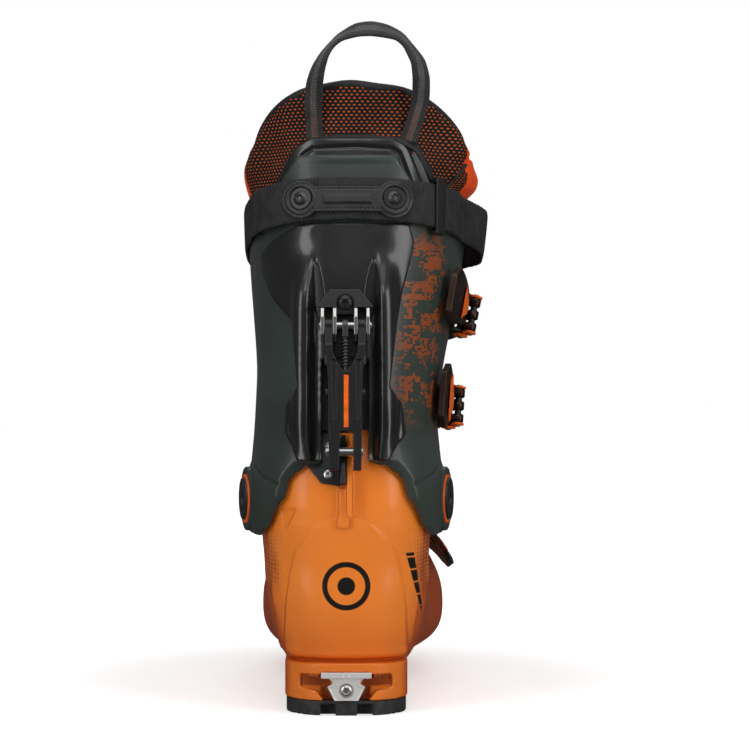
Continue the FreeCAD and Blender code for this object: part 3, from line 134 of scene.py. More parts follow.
class Finish:
    """A procedural material under construction."""

    def __init__(self, name, colour, rough, metal=0.0, coat=0.0, sheen=0.0, subsurface=0.0):
        self.material = bpy.data.materials.new(name)
        self.material.use_nodes = True
        self.tree = self.material.node_tree
        self.bsdf = self.tree.nodes["Principled BSDF"]
        self.colour = self.rgb(colour)
        self.rough = self.number(rough)
        surface = {"Metallic": metal, "Coat Weight": coat, "Coat Roughness": 0.12, "Sheen Weight": sheen,
                   "Sheen Roughness": 0.4, "Subsurface Weight": subsurface,
                   "Subsurface Radius": (0.004, 0.002, 0.001)}
        for key, value in surface.items():
            self.bsdf.inputs[key].default_value = value
        self.material.diffuse_color = (*colour, 1.0)
        self.normal = None
        coordinates = self.tree.nodes.new("ShaderNodeTexCoord")
        self.place = coordinates.outputs["Object"]
        parts = self.tree.nodes.new("ShaderNodeSeparateXYZ")
        self.tree.links.new(self.place, parts.inputs[0])
        self.x, self.y, self.z = (Value(self.tree, out) / MM for out in parts.outputs)

    def number(self, value):
        node = self.tree.nodes.new("ShaderNodeValue")
        node.outputs[0].default_value = value
        return Value(self.tree, node.outputs[0])

    def rgb(self, colour):
        node = self.tree.nodes.new("ShaderNodeRGB")
        node.outputs[0].default_value = (*colour, 1.0)
        return node.outputs[0]

    def vector(self, x, y, z):
        node = self.tree.nodes.new("ShaderNodeCombineXYZ")
        for index, item in enumerate((x, y, z)):
            if isinstance(item, Value):
                self.tree.links.new(item.socket, node.inputs[index])
            else:
                node.inputs[index].default_value = item
        return node.outputs[0]

    def texture(self, kind, place, **settings):
        """The first output of a texture node, with inputs set by name."""
        node = self.tree.nodes.new(kind)
        for name, value in settings.items():
            node.inputs[name].default_value = value
        self.tree.links.new(place, node.inputs["Vector"])
        return Value(self.tree, node.outputs[0])

    def noise(self, scale, detail=3.0, place=None):
        """Noise over the object, scale per mm, or over another vector, scale per unit."""
        if place is None:
            place, scale = self.place, scale / MM
        return self.texture("ShaderNodeTexNoise", place, Scale=scale, Detail=detail)

    def white_noise(self, place):
        return self.texture("ShaderNodeTexWhiteNoise", place)

    def cells(self, place):
        """Distance to the nearest point of a regular grid of unit cells."""
        return self.texture("ShaderNodeTexVoronoi", place, Scale=1.0, Randomness=0.0)

    def tint(self, mask, colour):
        node = self.tree.nodes.new("ShaderNodeMix")
        node.data_type = "RGBA"
        self.tree.links.new(mask.socket, node.inputs["Factor"])
        self.tree.links.new(self.colour, node.inputs[6])
        node.inputs[7].default_value = (*colour, 1.0)
        self.colour = node.outputs[2]

    def facing(self):
        """0 where the surface faces the eye, 1 at its grazing edge."""
        node = self.tree.nodes.new("ShaderNodeLayerWeight")
        node.inputs["Blend"].default_value = 0.5
        return Value(self.tree, node.outputs["Facing"])

    def attribute(self, name):
        """A number stored on the piece's points."""
        node = self.tree.nodes.new("ShaderNodeAttribute")
        node.attribute_name = name
        return Value(self.tree, node.outputs["Fac"])

    def dull(self, specular):
        self.bsdf.inputs["Specular IOR Level"].default_value = specular

    def roughen(self, mask, amount):
        self.rough = self.rough + mask * amount

    def vary(self, per_mm, low, high):
        """Multiplies the colour by a slow noise between low and high."""
        level = self.noise(per_mm, 2.0).ramp(0.3, 0.7) * (high - low) + low
        node = self.tree.nodes.new("ShaderNodeVectorMath")
        node.operation = "SCALE"
        self.tree.links.new(self.colour, node.inputs[0])
        self.tree.links.new(level.socket, node.inputs["Scale"])
        self.colour = node.outputs[0]

    def bump(self, height, depth_mm):
        node = self.tree.nodes.new("ShaderNodeBump")
        node.inputs["Strength"].default_value = 1.0
        node.inputs["Distance"].default_value = depth_mm * MM
        self.tree.links.new(height.socket, node.inputs["Height"])
        if self.normal is not None:
            self.tree.links.new(self.normal, node.inputs["Normal"])
        self.normal = node.outputs[0]

    def done(self):
        self.tree.links.new(self.colour, self.bsdf.inputs["Base Color"])
        self.tree.links.new(self.rough.socket, self.bsdf.inputs["Roughness"])
        if self.normal is not None:
            self.tree.links.new(self.normal, self.bsdf.inputs["Normal"])
        return self.material


def around_leg(finish, radius=65.0):
    """Arc length round the leg, in mm, for patterns on cuff, liner and strap."""
    dy = finish.y - LEG_AXIS_Y
    return finish.x.op("ARCTAN2", -dy) * radius


def shell_plastic():
    m = Finish("shell_plastic", (0.98, 0.255, 0.028), 0.33, coat=0.08, subsurface=0.05)
    m.dull(0.32)
    m.vary(0.012, 0.92, 1.05)
    # painted shade: the shell's colour darkens towards its grazing edges, where the sides turn away from the
    # lights
    m.tint(m.facing().ramp(0.40, 0.92) * 0.85, (0.40, 0.040, 0.006))
    # painted shade: the shell's colour darker towards the bottom
    m.tint(m.z.ramp(70, 22) * 0.30, (0.52, 0.085, 0.006))
    m.bump(m.noise(0.9, 2.0), 0.03)
    m.bump(m.noise(0.08, 2.0), 0.10)
    rear = m.y.ramp(-110, -114)
    across = m.x.op("ABSOLUTE")
    # painted shade: the heel block's pockets and slots are tinted darker where less light reaches in
    painted_pocket_shade = across.inside(9.2, 26.0, 0.4) * m.z.inside(16.2, 22.5, 0.4)
    painted_pocket_shade = painted_pocket_shade.either(across.inside(5.0, 13.0, 0.4) * m.z.inside(8.2, 16.2, 0.4))
    m.tint(painted_pocket_shade * rear * 0.75, (0.26, 0.038, 0.005))
    # rows of small dimples beside the heel
    side = m.x.op("ABSOLUTE").inside(36, 50, 1.2) * m.z.inside(71, 101, 3) * m.y.ramp(-88, -94)
    dots = m.cells(m.vector(m.x.op("ABSOLUTE") / 1.9, m.z / 2.4, 0.0)).ramp(0.34, 0.24)
    m.tint(dots * side * 0.55, (0.95, 0.36, 0.09))
    m.bump(dots * side, 0.25)
    # printed ring and dot of the heel fitting's target
    radius = (m.x * m.x + m.z.away(72.6) * m.z.away(72.6)).op("SQRT")
    mark = radius.inside(10.6, 13.6, 0.2).either(radius.ramp(5.2, 4.8)) * rear
    # a plain tapering stripe on the lateral rear, broken by thin gaps
    down = m.z.ramp(91, 90) * m.z.ramp(50, 51)
    middle = m.x + m.z * 0.215 - 55.6
    stripe = middle.op("ABSOLUTE") - (m.z - 46.0) * 0.055
    gaps = (m.z / 7.3).op("FRACT").ramp(0.10, 0.16)
    m.tint(mark.either(stripe.ramp(0.15, -0.15) * down * gaps * rear), (0.012, 0.011, 0.010))
    return m.done()


def cuff_plastic():
    m = Finish("cuff_plastic", (0.034, 0.046, 0.039), 0.40, coat=0.10)
    m.vary(0.02, 0.88, 1.10)
    # painted light: the cuff's green is lighter towards the lateral side
    m.tint(m.x.ramp(5, 60) * 0.5, (0.052, 0.068, 0.058))
    along = around_leg(m)
    cell = m.vector(along.snap(1.5), m.z.snap(1.1), 0.0)
    coarse = m.vector(along.snap(5.0), m.z.snap(3.6), 3.0)
    cloud = m.noise(0.055, 3.0, m.vector(along, m.z, 0.0))
    level = cloud * 0.62 + m.white_noise(coarse) * 0.20 + m.white_noise(cell) * 0.18
    zone = along.inside(22, 54, 6) * m.z.inside(168, 270, 9)
    m.tint(level.ramp(0.518, 0.532) * zone, (0.30, 0.072, 0.018))
    m.bump(m.noise(0.8, 2.0), 0.03)
    m.bump(m.noise(0.06, 2.0), 0.12)
    return m.done()


def gloss_black():
    m = Finish("spine_black", (0.010, 0.010, 0.011), 0.26, coat=0.45)
    m.roughen(m.noise(0.03, 2.0), 0.12)
    m.bump(m.noise(0.7, 2.0), 0.02)
    m.bump(m.noise(0.05, 1.0), 0.15)
    return m.done()


def satin_black():
    m = Finish("black_plastic", (0.022, 0.022, 0.023), 0.42)
    m.vary(0.05, 0.85, 1.15)
    m.bump(m.noise(1.6, 2.0), 0.05)
    return m.done()


def black_metal():
    m = Finish("black_metal", (0.018, 0.018, 0.019), 0.36, metal=0.35, coat=0.15)
    m.roughen(m.noise(0.4, 3.0), 0.12)
    m.bump(m.noise(2.5, 2.0), 0.02)
    return m.done()


def brushed(name, colour, rough, metal, stretch, streakiness, depth, coat=0.0):
    """Metal with streaks drawn out along the axes where stretch is small."""
    m = Finish(name, colour, rough, metal=metal, coat=coat)
    streak = m.noise(1.0, 2.0, m.vector(m.x * stretch[0], m.y * stretch[1], m.z * stretch[2]))
    m.roughen(streak, streakiness)
    m.bump(streak, depth)
    return m


def dark_steel():
    return brushed("dark_steel", (0.10, 0.10, 0.105), 0.34, 0.9, (6.0, 0.6, 0.6), 0.18, 0.015).done()


def steel():
    return brushed("steel", (0.62, 0.61, 0.59), 0.24, 1.0, (8.0, 0.6, 0.6), 0.20, 0.015).done()


def bronze():
    m = brushed("bronze", (0.060, 0.033, 0.024), 0.30, 0.85, (0.3, 0.3, 6.0), 0.16, 0.02, coat=0.15)
    m.vary(0.08, 0.75, 1.25)
    return m.done()


def orange_trim():
    m = Finish("orange_trim", (0.95, 0.15, 0.004), 0.48, coat=0.05)
    m.dull(0.35)
    m.vary(0.2, 0.85, 1.1)
    m.bump(m.noise(1.5, 2.0), 0.03)
    return m.done()


def bright_alloy():
    m = Finish("bright_alloy", (0.84, 0.83, 0.81), 0.34, metal=0.35)
    grain = m.noise(2.2, 3.0)
    m.roughen(grain, 0.18)
    m.bump(grain, 0.05)
    return m.done()


def sole_rubber():
    m = Finish("sole_rubber", (0.030, 0.030, 0.030), 0.62)
    m.vary(0.3, 0.7, 1.4)
    m.bump(m.noise(2.0, 4.0), 0.12)
    return m.done()


def webbing():
    """Black woven tape: ribs across the tape and a fine pick along it."""
    m = Finish("webbing", (0.026, 0.026, 0.027), 0.70)
    m.dull(0.3)
    along = around_leg(m, 70.0)
    rib = (along * (2 * math.pi / 1.6)).op("SINE")
    pick = ((m.z + m.y * 0.2) * (2 * math.pi / 1.1)).op("SINE")
    weave = rib * 0.6 + pick * rib * 0.5
    m.tint(weave.ramp(0.1, 0.9) * 0.6, (0.060, 0.060, 0.062))
    m.bump(weave, 0.16)
    m.vary(0.15, 0.8, 1.2)
    return m.done()


def loop_webbing():
    """Herringbone edges round a lighter ribbed middle; the rust tint is at the sewn legs."""
    m = Finish("loop_webbing", (0.016, 0.015, 0.015), 0.65, sheen=0.15)
    across, along = m.attribute("across"), m.attribute("along")
    off = across.op("ABSOLUTE")
    slant = ((along * 0.9 - off * 5.5) * (2 * math.pi / 1.7)).op("SINE")
    rib = (along * (2 * math.pi / 1.1)).op("SINE")
    centre = off.ramp(0.40, 0.32)
    m.tint(slant.ramp(0.0, 0.8) * 0.7, (0.075, 0.072, 0.070))
    m.tint(centre, (0.065, 0.062, 0.060))
    m.tint(centre * rib.ramp(0.0, 0.8) * 0.7, (0.17, 0.16, 0.155))
    m.tint(centre * m.z.ramp(352, 336) * rib.ramp(-0.4, 0.5) * 0.6, (0.22, 0.055, 0.020))
    m.bump(slant * 0.6 + rib * centre * 0.6, 0.16)
    m.vary(0.1, 0.75, 1.25)
    return m.done()


def mesh_fabric():
    """Black spacer mesh: orange shows through staggered slots, tighter ones under the slanted seam."""
    m = Finish("mesh_fabric", (0.011, 0.010, 0.010), 0.75)
    m.dull(0.3)
    along = around_leg(m, 66.0)
    wide = slots(m, along, 3.3, 1.9, 0.70, 0.42)
    tight = slots(m, along, 2.2, 1.3, 0.50, 0.30)
    under = (m.z - m.x * 1.24).ramp(229.5, 227.5) * m.x.ramp(50, 52)
    open_part = wide * (-under + 1.0) + tight * under
    m.tint(open_part, (0.74, 0.125, 0.020))
    m.bump(-open_part, 0.4)
    m.vary(0.05, 0.80, 1.12)
    return m.done()


def slots(m, along, pitch, row_height, half_length, half_height):
    """Mask of short slots in staggered rows."""
    row = m.z / row_height
    shift = row.op("FLOOR").op("FLOORED_MODULO", 2.0) * 0.5
    from_middle = (along / pitch + shift).op("FRACT").away(0.5) * pitch
    from_row = row.op("FRACT").away(0.5) * row_height
    ends = from_middle.ramp(half_length + 0.12, half_length - 0.12)
    return ends * from_row.ramp(half_height + 0.12, half_height - 0.12)


def lining():
    m = Finish("lining", (0.030, 0.029, 0.029), 0.85, sheen=0.5)
    knit = m.noise(1.4, 3.0)
    m.tint(knit.ramp(0.45, 0.65) * 0.6, (0.060, 0.058, 0.056))
    m.bump(knit, 0.3)
    return m.done()


def orange_fabric():
    m = Finish("orange_fabric", (0.98, 0.095, 0.006), 0.62)
    m.dull(0.3)
    m.bump(m.noise(1.8, 3.0), 0.2)
    m.vary(0.1, 0.88, 1.08)
    return m.done()


def grey_velcro():
    m = Finish("grey_velcro", (0.10, 0.105, 0.10), 0.9, sheen=0.3)
    fuzz = m.noise(1.6, 4.0)
    m.tint(fuzz.ramp(0.4, 0.7) * 0.7, (0.20, 0.21, 0.20))
    m.bump(fuzz, 0.4)
    return m.done()


def piping():
    """Smooth black edge binding."""
    m = Finish("edge_binding", (0.013, 0.013, 0.013), 0.55, sheen=0.1)
    m.bump(m.noise(3.0, 2.0), 0.06)
    m.vary(0.2, 0.8, 1.2)
    return m.done()


SHELL_PLASTIC = shell_plastic()
CUFF_PLASTIC = cuff_plastic()
SPINE_BLACK = gloss_black()
SATIN_BLACK = satin_black()
BLACK_METAL = black_metal()
BRONZE = bronze()
ORANGE_TRIM = orange_trim()
STEEL = steel()
BRIGHT_ALLOY = bright_alloy()
SOLE_RUBBER = sole_rubber()
WEBBING = webbing()
LOOP_WEBBING = loop_webbing()
MESH_FABRIC = mesh_fabric()
LINING = lining()
ORANGE_FABRIC = orange_fabric()
GREY_VELCRO = grey_velcro()
PIPING = piping()
DARK_STEEL = dark_steel()


# ---------------------------------------------------------------- mesh helpers
def new_object(name, vertices, faces, material):
    mesh = bpy.data.meshes.new(name)
    mesh.from_pydata([tuple(v) for v in vertices], [], faces)
    mesh.validate()
    mesh.update()
    piece = bpy.data.objects.new(name, mesh)
    bpy.context.scene.collection.objects.link(piece)
    dress(piece, material)
    return piece


def dress(piece, material):
    piece.data.materials.clear()
    piece.data.materials.append(material)
    piece.data.polygons.foreach_set("use_smooth", [True] * len(piece.data.polygons))


def bake(piece):
    """Applies every modifier."""
    bpy.context.view_layer.update()
    graph = bpy.context.evaluated_depsgraph_get()
    mesh = bpy.data.meshes.new_from_object(piece.evaluated_get(graph))
    old = piece.data
    piece.modifiers.clear()
    piece.data = mesh
    bpy.data.meshes.remove(old)


def copy_of(node, name):
    """A new object with a CAD node's points and faces."""
    source = NODES[node].data
    mesh = bpy.data.meshes.new(name)
    mesh.from_pydata([tuple(v.co) for v in source.vertices], [], [list(f.vertices) for f in source.polygons])
    piece = bpy.data.objects.new(name, mesh)
    bpy.context.scene.collection.objects.link(piece)
    return piece


def points_of(piece):
    flat = np.empty(len(piece.data.vertices) * 3, np.float32)
    piece.data.vertices.foreach_get("co", flat)
    return flat.reshape(-1, 3).astype(float)


def normals_of(piece):
    flat = np.empty(len(piece.data.vertices) * 3, np.float32)
    piece.data.vertex_normals.foreach_get("vector", flat)
    return flat.reshape(-1, 3).astype(float)


def set_points(piece, points):
    piece.data.vertices.foreach_set("co", points.astype(np.float32).ravel())
    piece.data.update()


def moulded(node, name, material, voxel_mm, rounds):
    """A soft-edged copy of a CAD node: voxel remesh, then a few rounds of smoothing."""
    piece = copy_of(node, name)
    remesh = piece.modifiers.new("remesh", "REMESH")
    remesh.mode = "VOXEL"
    remesh.voxel_size = voxel_mm * MM
    remesh.use_smooth_shade = True
    if rounds:
        soften = piece.modifiers.new("soften", "SMOOTH")
        soften.factor = 0.5
        soften.iterations = rounds
    bake(piece)
    dress(piece, material)
    return piece


def displace(piece, height):
    """Moves each point along its normal by height(x, y, z, normal) in mm; arguments are arrays in mm."""
    points = points_of(piece)
    normals = normals_of(piece)
    x, y, z = (points / MM).T
    points += normals * (height(x, y, z, normals) * MM)[:, None]
    set_points(piece, points)


def ease(value, low, high):
    share = np.clip((value - low) / (high - low), 0.0, 1.0)
    return share * share * (3 - 2 * share)


def band(value, low, high, soft):
    return ease(value, low - soft, low + soft) * (1 - ease(value, high - soft, high + soft))


def settle(piece, body, slot, *nodes):
    """Gives a piece its body and hides the CAD nodes it stands for; the slot is not used."""
    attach(piece, body)
    if nodes:
        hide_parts(*nodes)
    return piece


def moulded_node(node, material, slot, voxel_mm, rounds):
    """The moulded copy that stands for a CAD node, on that node's body."""
    piece = moulded(node, node + "_form", material, voxel_mm, rounds)
    return settle(piece, BODY_OF[node], slot, node)


def make_forms(table):
    """Moulded copies of CAD nodes: node, material, slot, voxel in mm, rounds of smoothing."""
    for row in table:
        moulded_node(*row)


def tube(name, path, radius_mm, material, sides, flatten):
    """A tube along points in metres; flatten squeezes it along the path's second normal."""
    path = [Vector(p) for p in path]
    count = len(path)
    vertices = []
    for index, point in enumerate(path):
        run = (path[min(index + 1, count - 1)] - path[max(index - 1, 0)]).normalized()
        side = run.cross(Vector((0.0, 0.0, 1.0))).normalized()
        up = side.cross(run).normalized()
        for corner in range(sides):
            turn = 2 * math.pi * corner / sides
            offset = side * math.cos(turn) + up * math.sin(turn) * flatten
            vertices.append(point + offset * radius_mm * MM)
    faces = ring_faces(0, count, sides)
    faces.append(list(range(sides))[::-1])
    faces.append(list(range((count - 1) * sides, count * sides)))
    return new_object(name, vertices, faces, material)


def ring_faces(first, rings, sides):
    """Faces between rings of points that follow one another, starting at point number first."""
    faces = []
    for ring in range(rings - 1):
        near, far = first + ring * sides, first + (ring + 1) * sides
        for corner in range(sides):
            following = (corner + 1) % sides
            faces.append([near + corner, near + following, far + following, far + corner])
    return faces


def tree_of(piece):
    """A ray-casting tree of a piece or CAD node."""
    mesh = piece.data
    return BVHTree.FromPolygons([v.co for v in mesh.vertices], [list(f.vertices) for f in mesh.polygons])


# ---------------------------------------------------------------- lower shell
def line_gap(a, b, corners):
    """Distance of each point (a, b) from a polyline of (a, b) corners, in mm."""
    best = np.full(a.shape, np.inf)
    for (a0, b0), (a1, b1) in zip(corners[:-1], corners[1:]):
        run_a, run_b = a1 - a0, b1 - b0
        share = np.clip(((a - a0) * run_a + (b - b0) * run_b) / (run_a ** 2 + run_b ** 2), 0, 1)
        best = np.minimum(best, np.hypot(a - a0 - share * run_a, b - b0 - share * run_b))
    return best


# raised panel on the heel: its half width at each height, and how proud it stands
HEEL_PANEL_Z = [28, 37, 60, 80, 93, 99.6, 107, 112]
HEEL_PANEL_HALF = [34.8, 34.5, 33.5, 31, 27.7, 22.5, 15, 4.2]
HEEL_PANEL_RISE = 0.95
# a lower, wider step round that panel
OUTER_STEP_Z = [30, 60, 90, 112]
OUTER_STEP_HALF = [37.5, 41.5, 44.5, 46.0]
OUTER_STEP_RISE = 0.45
# pockets and slots of the heel block: inner and outer half width, bottom and top
HEEL_POCKET = (8.6, 26.4, 15.8, 22.9)
HEEL_SLOT = (4.5, 13.5, 8.0, 16.5)
HEEL_POCKET_DEPTH = 2.3
# notch under the cuff's left wing, a triangle with its point down
NOTCH_LEFT, NOTCH_RIGHT, NOTCH_FOOT = -37.6, -28.4, -34.3
NOTCH_TOP, NOTCH_BOTTOM = 116.0, 103.6
NOTCH_DEPTH = 1.4
# the curved bead over the heel block and the fill behind it
BEAD_Z, BEAD_BOW, BEAD_RISE = 28.8, 4.0, 0.35
LEDGE_Z, LEDGE_SPREAD, LEDGE_FILL = 33.5, 3.0, 1.6


def shell_relief(x, y, z, normal):
    """Heel panel, bead and pockets, and the notch under the cuff, in mm along the normal."""
    side = np.abs(x + 0.4)
    rear = 1 - ease(y, -120, -70)
    edge = np.interp(z, HEEL_PANEL_Z, HEEL_PANEL_HALF)
    softness = np.where(x < 0, 0.8, 1.6)
    share = np.clip((side - edge) / softness, -1, 1) * 0.5 + 0.5
    panel = (1 - share * share * (3 - 2 * share)) * band(z, 31, 112, 1.5)
    lift = HEEL_PANEL_RISE * panel * rear * (normal[:, 1] < 0.2)
    outer_edge = np.interp(z, OUTER_STEP_Z, OUTER_STEP_HALF)
    step = (1 - ease(side - outer_edge, -0.8, 0.8)) * band(z, 31, 108, 3)
    lift += OUTER_STEP_RISE * step * (1 - ease(y, -60, -30))
    from_bead = np.abs(z - (BEAD_Z + BEAD_BOW * (x / 36) ** 2))
    lift += BEAD_RISE * (1 - ease(from_bead, 0.4, 1.7)) * (1 - ease(y, -84, -74)) * (side < 40)
    lift += LEDGE_FILL * np.exp(-((z - LEDGE_Z) / LEDGE_SPREAD) ** 2) * (1 - ease(y, -124, -112))
    pocket = band(side, *HEEL_POCKET[:2], 0.5) * band(z, *HEEL_POCKET[2:], 0.5)
    slot = band(side, *HEEL_SLOT[:2], 0.5) * band(z, *HEEL_SLOT[2:], 0.5)
    lift -= HEEL_POCKET_DEPTH * np.maximum(pocket, slot) * (y < -128) * (normal[:, 1] < -0.5)
    down = np.clip((NOTCH_TOP - z) / (NOTCH_TOP - NOTCH_BOTTOM), 0, 1)
    first = NOTCH_LEFT + (NOTCH_FOOT - NOTCH_LEFT) * down
    last = NOTCH_RIGHT + (NOTCH_FOOT - NOTCH_RIGHT) * down
    notch = band(x, first, last, 0.4) * band(z, NOTCH_BOTTOM, NOTCH_TOP, 0.4) * (y < -90)
    return lift - NOTCH_DEPTH * notch


def soften_ledge(shell):
    """Eases the crease where the shell meets its heel block."""
    x, y, z = (points_of(shell) / MM).T
    weight = band(z, 29.5, 37.5, 1.5) * (1 - ease(y, -96, -84))
    group = shell.vertex_groups.new(name="ledge")
    for index in np.nonzero(weight > 0.01)[0]:
        group.add([int(index)], float(weight[index]), "REPLACE")
    relax = shell.modifiers.new("relax", "SMOOTH")
    relax.factor = 0.5
    relax.iterations = 40
    relax.vertex_group = "ledge"
    bake(shell)
    dress(shell, SHELL_PLASTIC)


def make_shell():
    shell = moulded("lower_shell", "shell_moulding", SHELL_PLASTIC, 0.75, 3)
    soften_ledge(shell)
    displace(shell, shell_relief)
    settle(shell, "shell", "shell_plastic", "lower_shell")
    make_forms([
        ("heel_sole_lug", SOLE_RUBBER, "sole_rubber", 0.6, 2),
        ("toe_sole_lug", SOLE_RUBBER, "sole_rubber", 0.6, 2),
        ("heel_tech_fitting", BRIGHT_ALLOY, "bright_alloy", 0.22, 3),
        ("toe_tech_fittings", STEEL, "steel", 0.35, 2),
        ("heel_fitting_screw", STEEL, "steel", 0.2, 2),
        ("spine_latch_plate", SATIN_BLACK, "black_plastic", 0.35, 2),
        ("spine_latch_rail", DARK_STEEL, "steel", 0.3, 2),
        ("spine_screws", STEEL, "steel", 0.2, 1),
        ("sole_screws", STEEL, "steel", 0.35, 1)])
    turn_pivot(moulded_node("pivot_caps", SATIN_BLACK, "black_plastic", 0.3, 2), CAP_PROUD)
    turn_pivot(moulded_node("pivot_rings", ORANGE_TRIM, "orange_trim", 0.3, 2))
    moulded_node("pivot_bushes", STEEL, "steel", 0.4, 1)


# ---------------------------------------------------------------- cuff and spine
TAB_BEAD = 0.45                             # bead along the top of the cuff's rear tab
WAIST_Z, WAIST_SLOPE, WAIST_DEPTH = 150.0, 0.30, 0.7        # line pressed in along each side
PIVOT_TURN = math.radians(12.0)             # the bosses, caps and rings face this far rearward
CAP_PROUD = 0.7                             # keeps the caps' rims off the bosses as the cuff swings
SPINE_MIDDLE = -1.0


def cuff_relief(x, y, z, normal):
    """A waist line on each side and a soft bead along the top of the rear tab."""
    bead = TAB_BEAD * ease(z, 311.5, 314.5) * (y < -80)
    from_waist = np.abs(z - (WAIST_Z + WAIST_SLOPE * (y - PIVOT[0])))
    on_side = (np.abs(x) > 30) & (normal[:, 0] * np.sign(x) > 0.3)
    return bead - WAIST_DEPTH * (1 - ease(from_waist, 0.5, 2.0)) * on_side


def spine_relief(x, y, z, normal):
    """Lens-shaped hollows beside the lever and sharp outer facets low down."""
    side = np.abs(x - SPINE_MIDDLE)
    lens_x = 13.5 + 0.10 * (z - 225)
    lens_half = 1.0 + 2.4 * np.clip(1 - ((z - 238) / 18.0) ** 2, 0, 1)
    lens = (1 - ease(np.abs(side - lens_x), 0.4 * lens_half, lens_half)) * band(z, 222, 254, 5)
    facet = ease(side, 30, 32) * band(z, 146, 182, 3)
    return (0.9 * facet - 2.0 * lens) * (normal[:, 1] < -0.1)


# the spoiler's edge seen from behind, (x, z)
SPOILER_EDGE = [(-37.7, 300), (-33, 313), (-27, 321), (-20, 325), (4, 326), (27, 325), (33, 321.5),
                (41.7, 300)]


def spoiler_relief(x, y, z, normal):
    """Glossy raised rim with a groove inside it."""
    gap = line_gap(x, z, SPOILER_EDGE)
    rim = 0.5 * (1 - ease(gap, 1.6, 3.0))
    groove = 0.6 * (1 - ease(np.abs(gap - 3.9), 0.3, 1.1))
    return (rim - groove) * (normal[:, 1] < -0.1)


def make_cuff():
    cuff = moulded("cuff", "cuff_moulding", CUFF_PLASTIC, 0.8, 8)
    displace(cuff, cuff_relief)
    turn_pivot(cuff)
    settle(cuff, "cuff", "cuff_plastic", "cuff")
    spine = moulded("cuff_spine", "spine_moulding", SPINE_BLACK, 0.6, 7)
    displace(spine, spine_relief)
    settle(spine, "cuff", "black_plastic", "cuff_spine")
    spoiler = moulded_node("cuff_spoiler", SPINE_BLACK, "black_plastic", 0.6, 3)
    displace(spoiler, spoiler_relief)


def turn_pivot(piece, proud=0.0):
    """Turns pivot bosses, caps or rings to face a little rearward, fading out round the boss."""
    points = points_of(piece)
    x, y, z = (points / MM).T
    off = np.hypot(y - PIVOT[0], z - PIVOT[1])
    share = (1 - ease(off, 19.5, 27.0)) * ease(np.abs(x), 49.0, 54.0)
    out = math.tan(PIVOT_TURN) * (y - PIVOT[0]) + proud
    points[:, 0] += np.sign(x) * out * share * MM
    set_points(piece, points)


# ---------------------------------------------------------------- mode lever and its mount
def make_lever():
    make_forms([
        ("mode_lever", BLACK_METAL, "black_metal", 0.3, 2),
        ("lever_stripe", ORANGE_TRIM, "orange_trim", 0.2, 1),
        ("latch_pin", STEEL, "steel", 0.25, 1),
        ("spring_guide", DARK_STEEL, "steel", 0.2, 1),
        ("lever_ears", STEEL, "steel", 0.25, 2),
        ("lever_axle", STEEL, "steel", 0.25, 1),
        ("lever_bracket", BLACK_METAL, "black_metal", 0.3, 2),
        ("bracket_bolt", BLACK_METAL, "black_metal", 0.2, 1)])
    # the spring is shown as the CAD node that it is
    coats = NODES["lever_spring"].data.materials
    for index in range(len(coats)):
        coats[index] = DARK_STEEL


# ---------------------------------------------------------------- buckles
# hinge dressing: places of the outer barrels along the axis, a barrel's length and radius
KNUCKLES = (7.6, 5.2, 3.5)
HUBS = (9.6, 4.0, 4.0)


def make_buckles():
    for name in ("upper", "middle", "instep", "toe"):
        make_forms([
            (name + "_buckle_base", SATIN_BLACK, "black_plastic", 0.45, 2),
            (name + "_buckle_lever", BRONZE, "bronze", 0.4, 2),
            (name + "_buckle_grip", ORANGE_TRIM, "orange_trim", 0.35, 2),
            (name + "_ladder", BLACK_METAL, "black_metal", 0.4, 2),
            (name + "_buckle_bail", BLACK_METAL, "black_metal", 0.35, 2)])
    make_forms([
        ("cuff_buckle_pins", ORANGE_TRIM, "orange_trim", 0.3, 1),
        ("shell_buckle_pins", ORANGE_TRIM, "orange_trim", 0.3, 1)])
    for joint in frame["record"]["behaviour"]["joints"]:
        name, _, part = joint["name"].partition("_")
        if part == "bail_hinge":
            dress_hinge(name + "_knuckles", joint, *KNUCKLES)
        elif part == "lever_hinge" and name != "mode":
            dress_hinge(name + "_hubs", joint, *HUBS)


TURNED_SIDES = 28


def turned(name, joint, profiles, material):
    """Turned parts on a joint's axis; each profile is a list of (place along the axis, radius)."""
    centre, axis = Vector(joint["pos_m"]), Vector(joint["axis"]).normalized()
    side = axis.orthogonal().normalized()
    up = axis.cross(side)
    vertices, faces = [], []
    for profile in profiles:
        first = len(vertices)
        for place, radius in profile:
            for corner in range(TURNED_SIDES):
                turn = 2 * math.pi * corner / TURNED_SIDES
                offset = side * math.cos(turn) + up * math.sin(turn)
                vertices.append(centre + (axis * place + offset * radius) * MM)
        faces += ring_faces(first, len(profile), TURNED_SIDES)
        faces.append([first + corner for corner in range(TURNED_SIDES)][::-1])
        faces.append([len(vertices) - TURNED_SIDES + corner for corner in range(TURNED_SIDES)])
    return new_object(name, vertices, faces, material)


def barrel(middle, length, radius, chamfer=0.6):
    """Profile of a cylinder with chamfered ends."""
    half = length / 2
    return [(middle - half, radius - chamfer), (middle - half + chamfer, radius),
            (middle + half - chamfer, radius), (middle + half, radius - chamfer)]


def dress_hinge(name, joint, spread, length, radius):
    """Three barrels of a buckle hinge with orange end washers and steel pin heads."""
    body = joint["parent"]
    barrels = [barrel(place, length, radius) for place in (-spread, 0.0, spread)]
    settle(turned(name, joint, barrels, BRONZE), body, "bronze")
    end = spread + length / 2 + 0.7
    washers = [barrel(place, 1.2, radius + 0.5, 0.3) for place in (-end, end)]
    settle(turned(name + "_washers", joint, washers, ORANGE_TRIM), body, "orange_trim")
    heads = [barrel(place, 1.0, 1.9, 0.4) for place in (-end - 1.1, end + 1.1)]
    settle(turned(name + "_pins", joint, heads, STEEL), body, "steel")


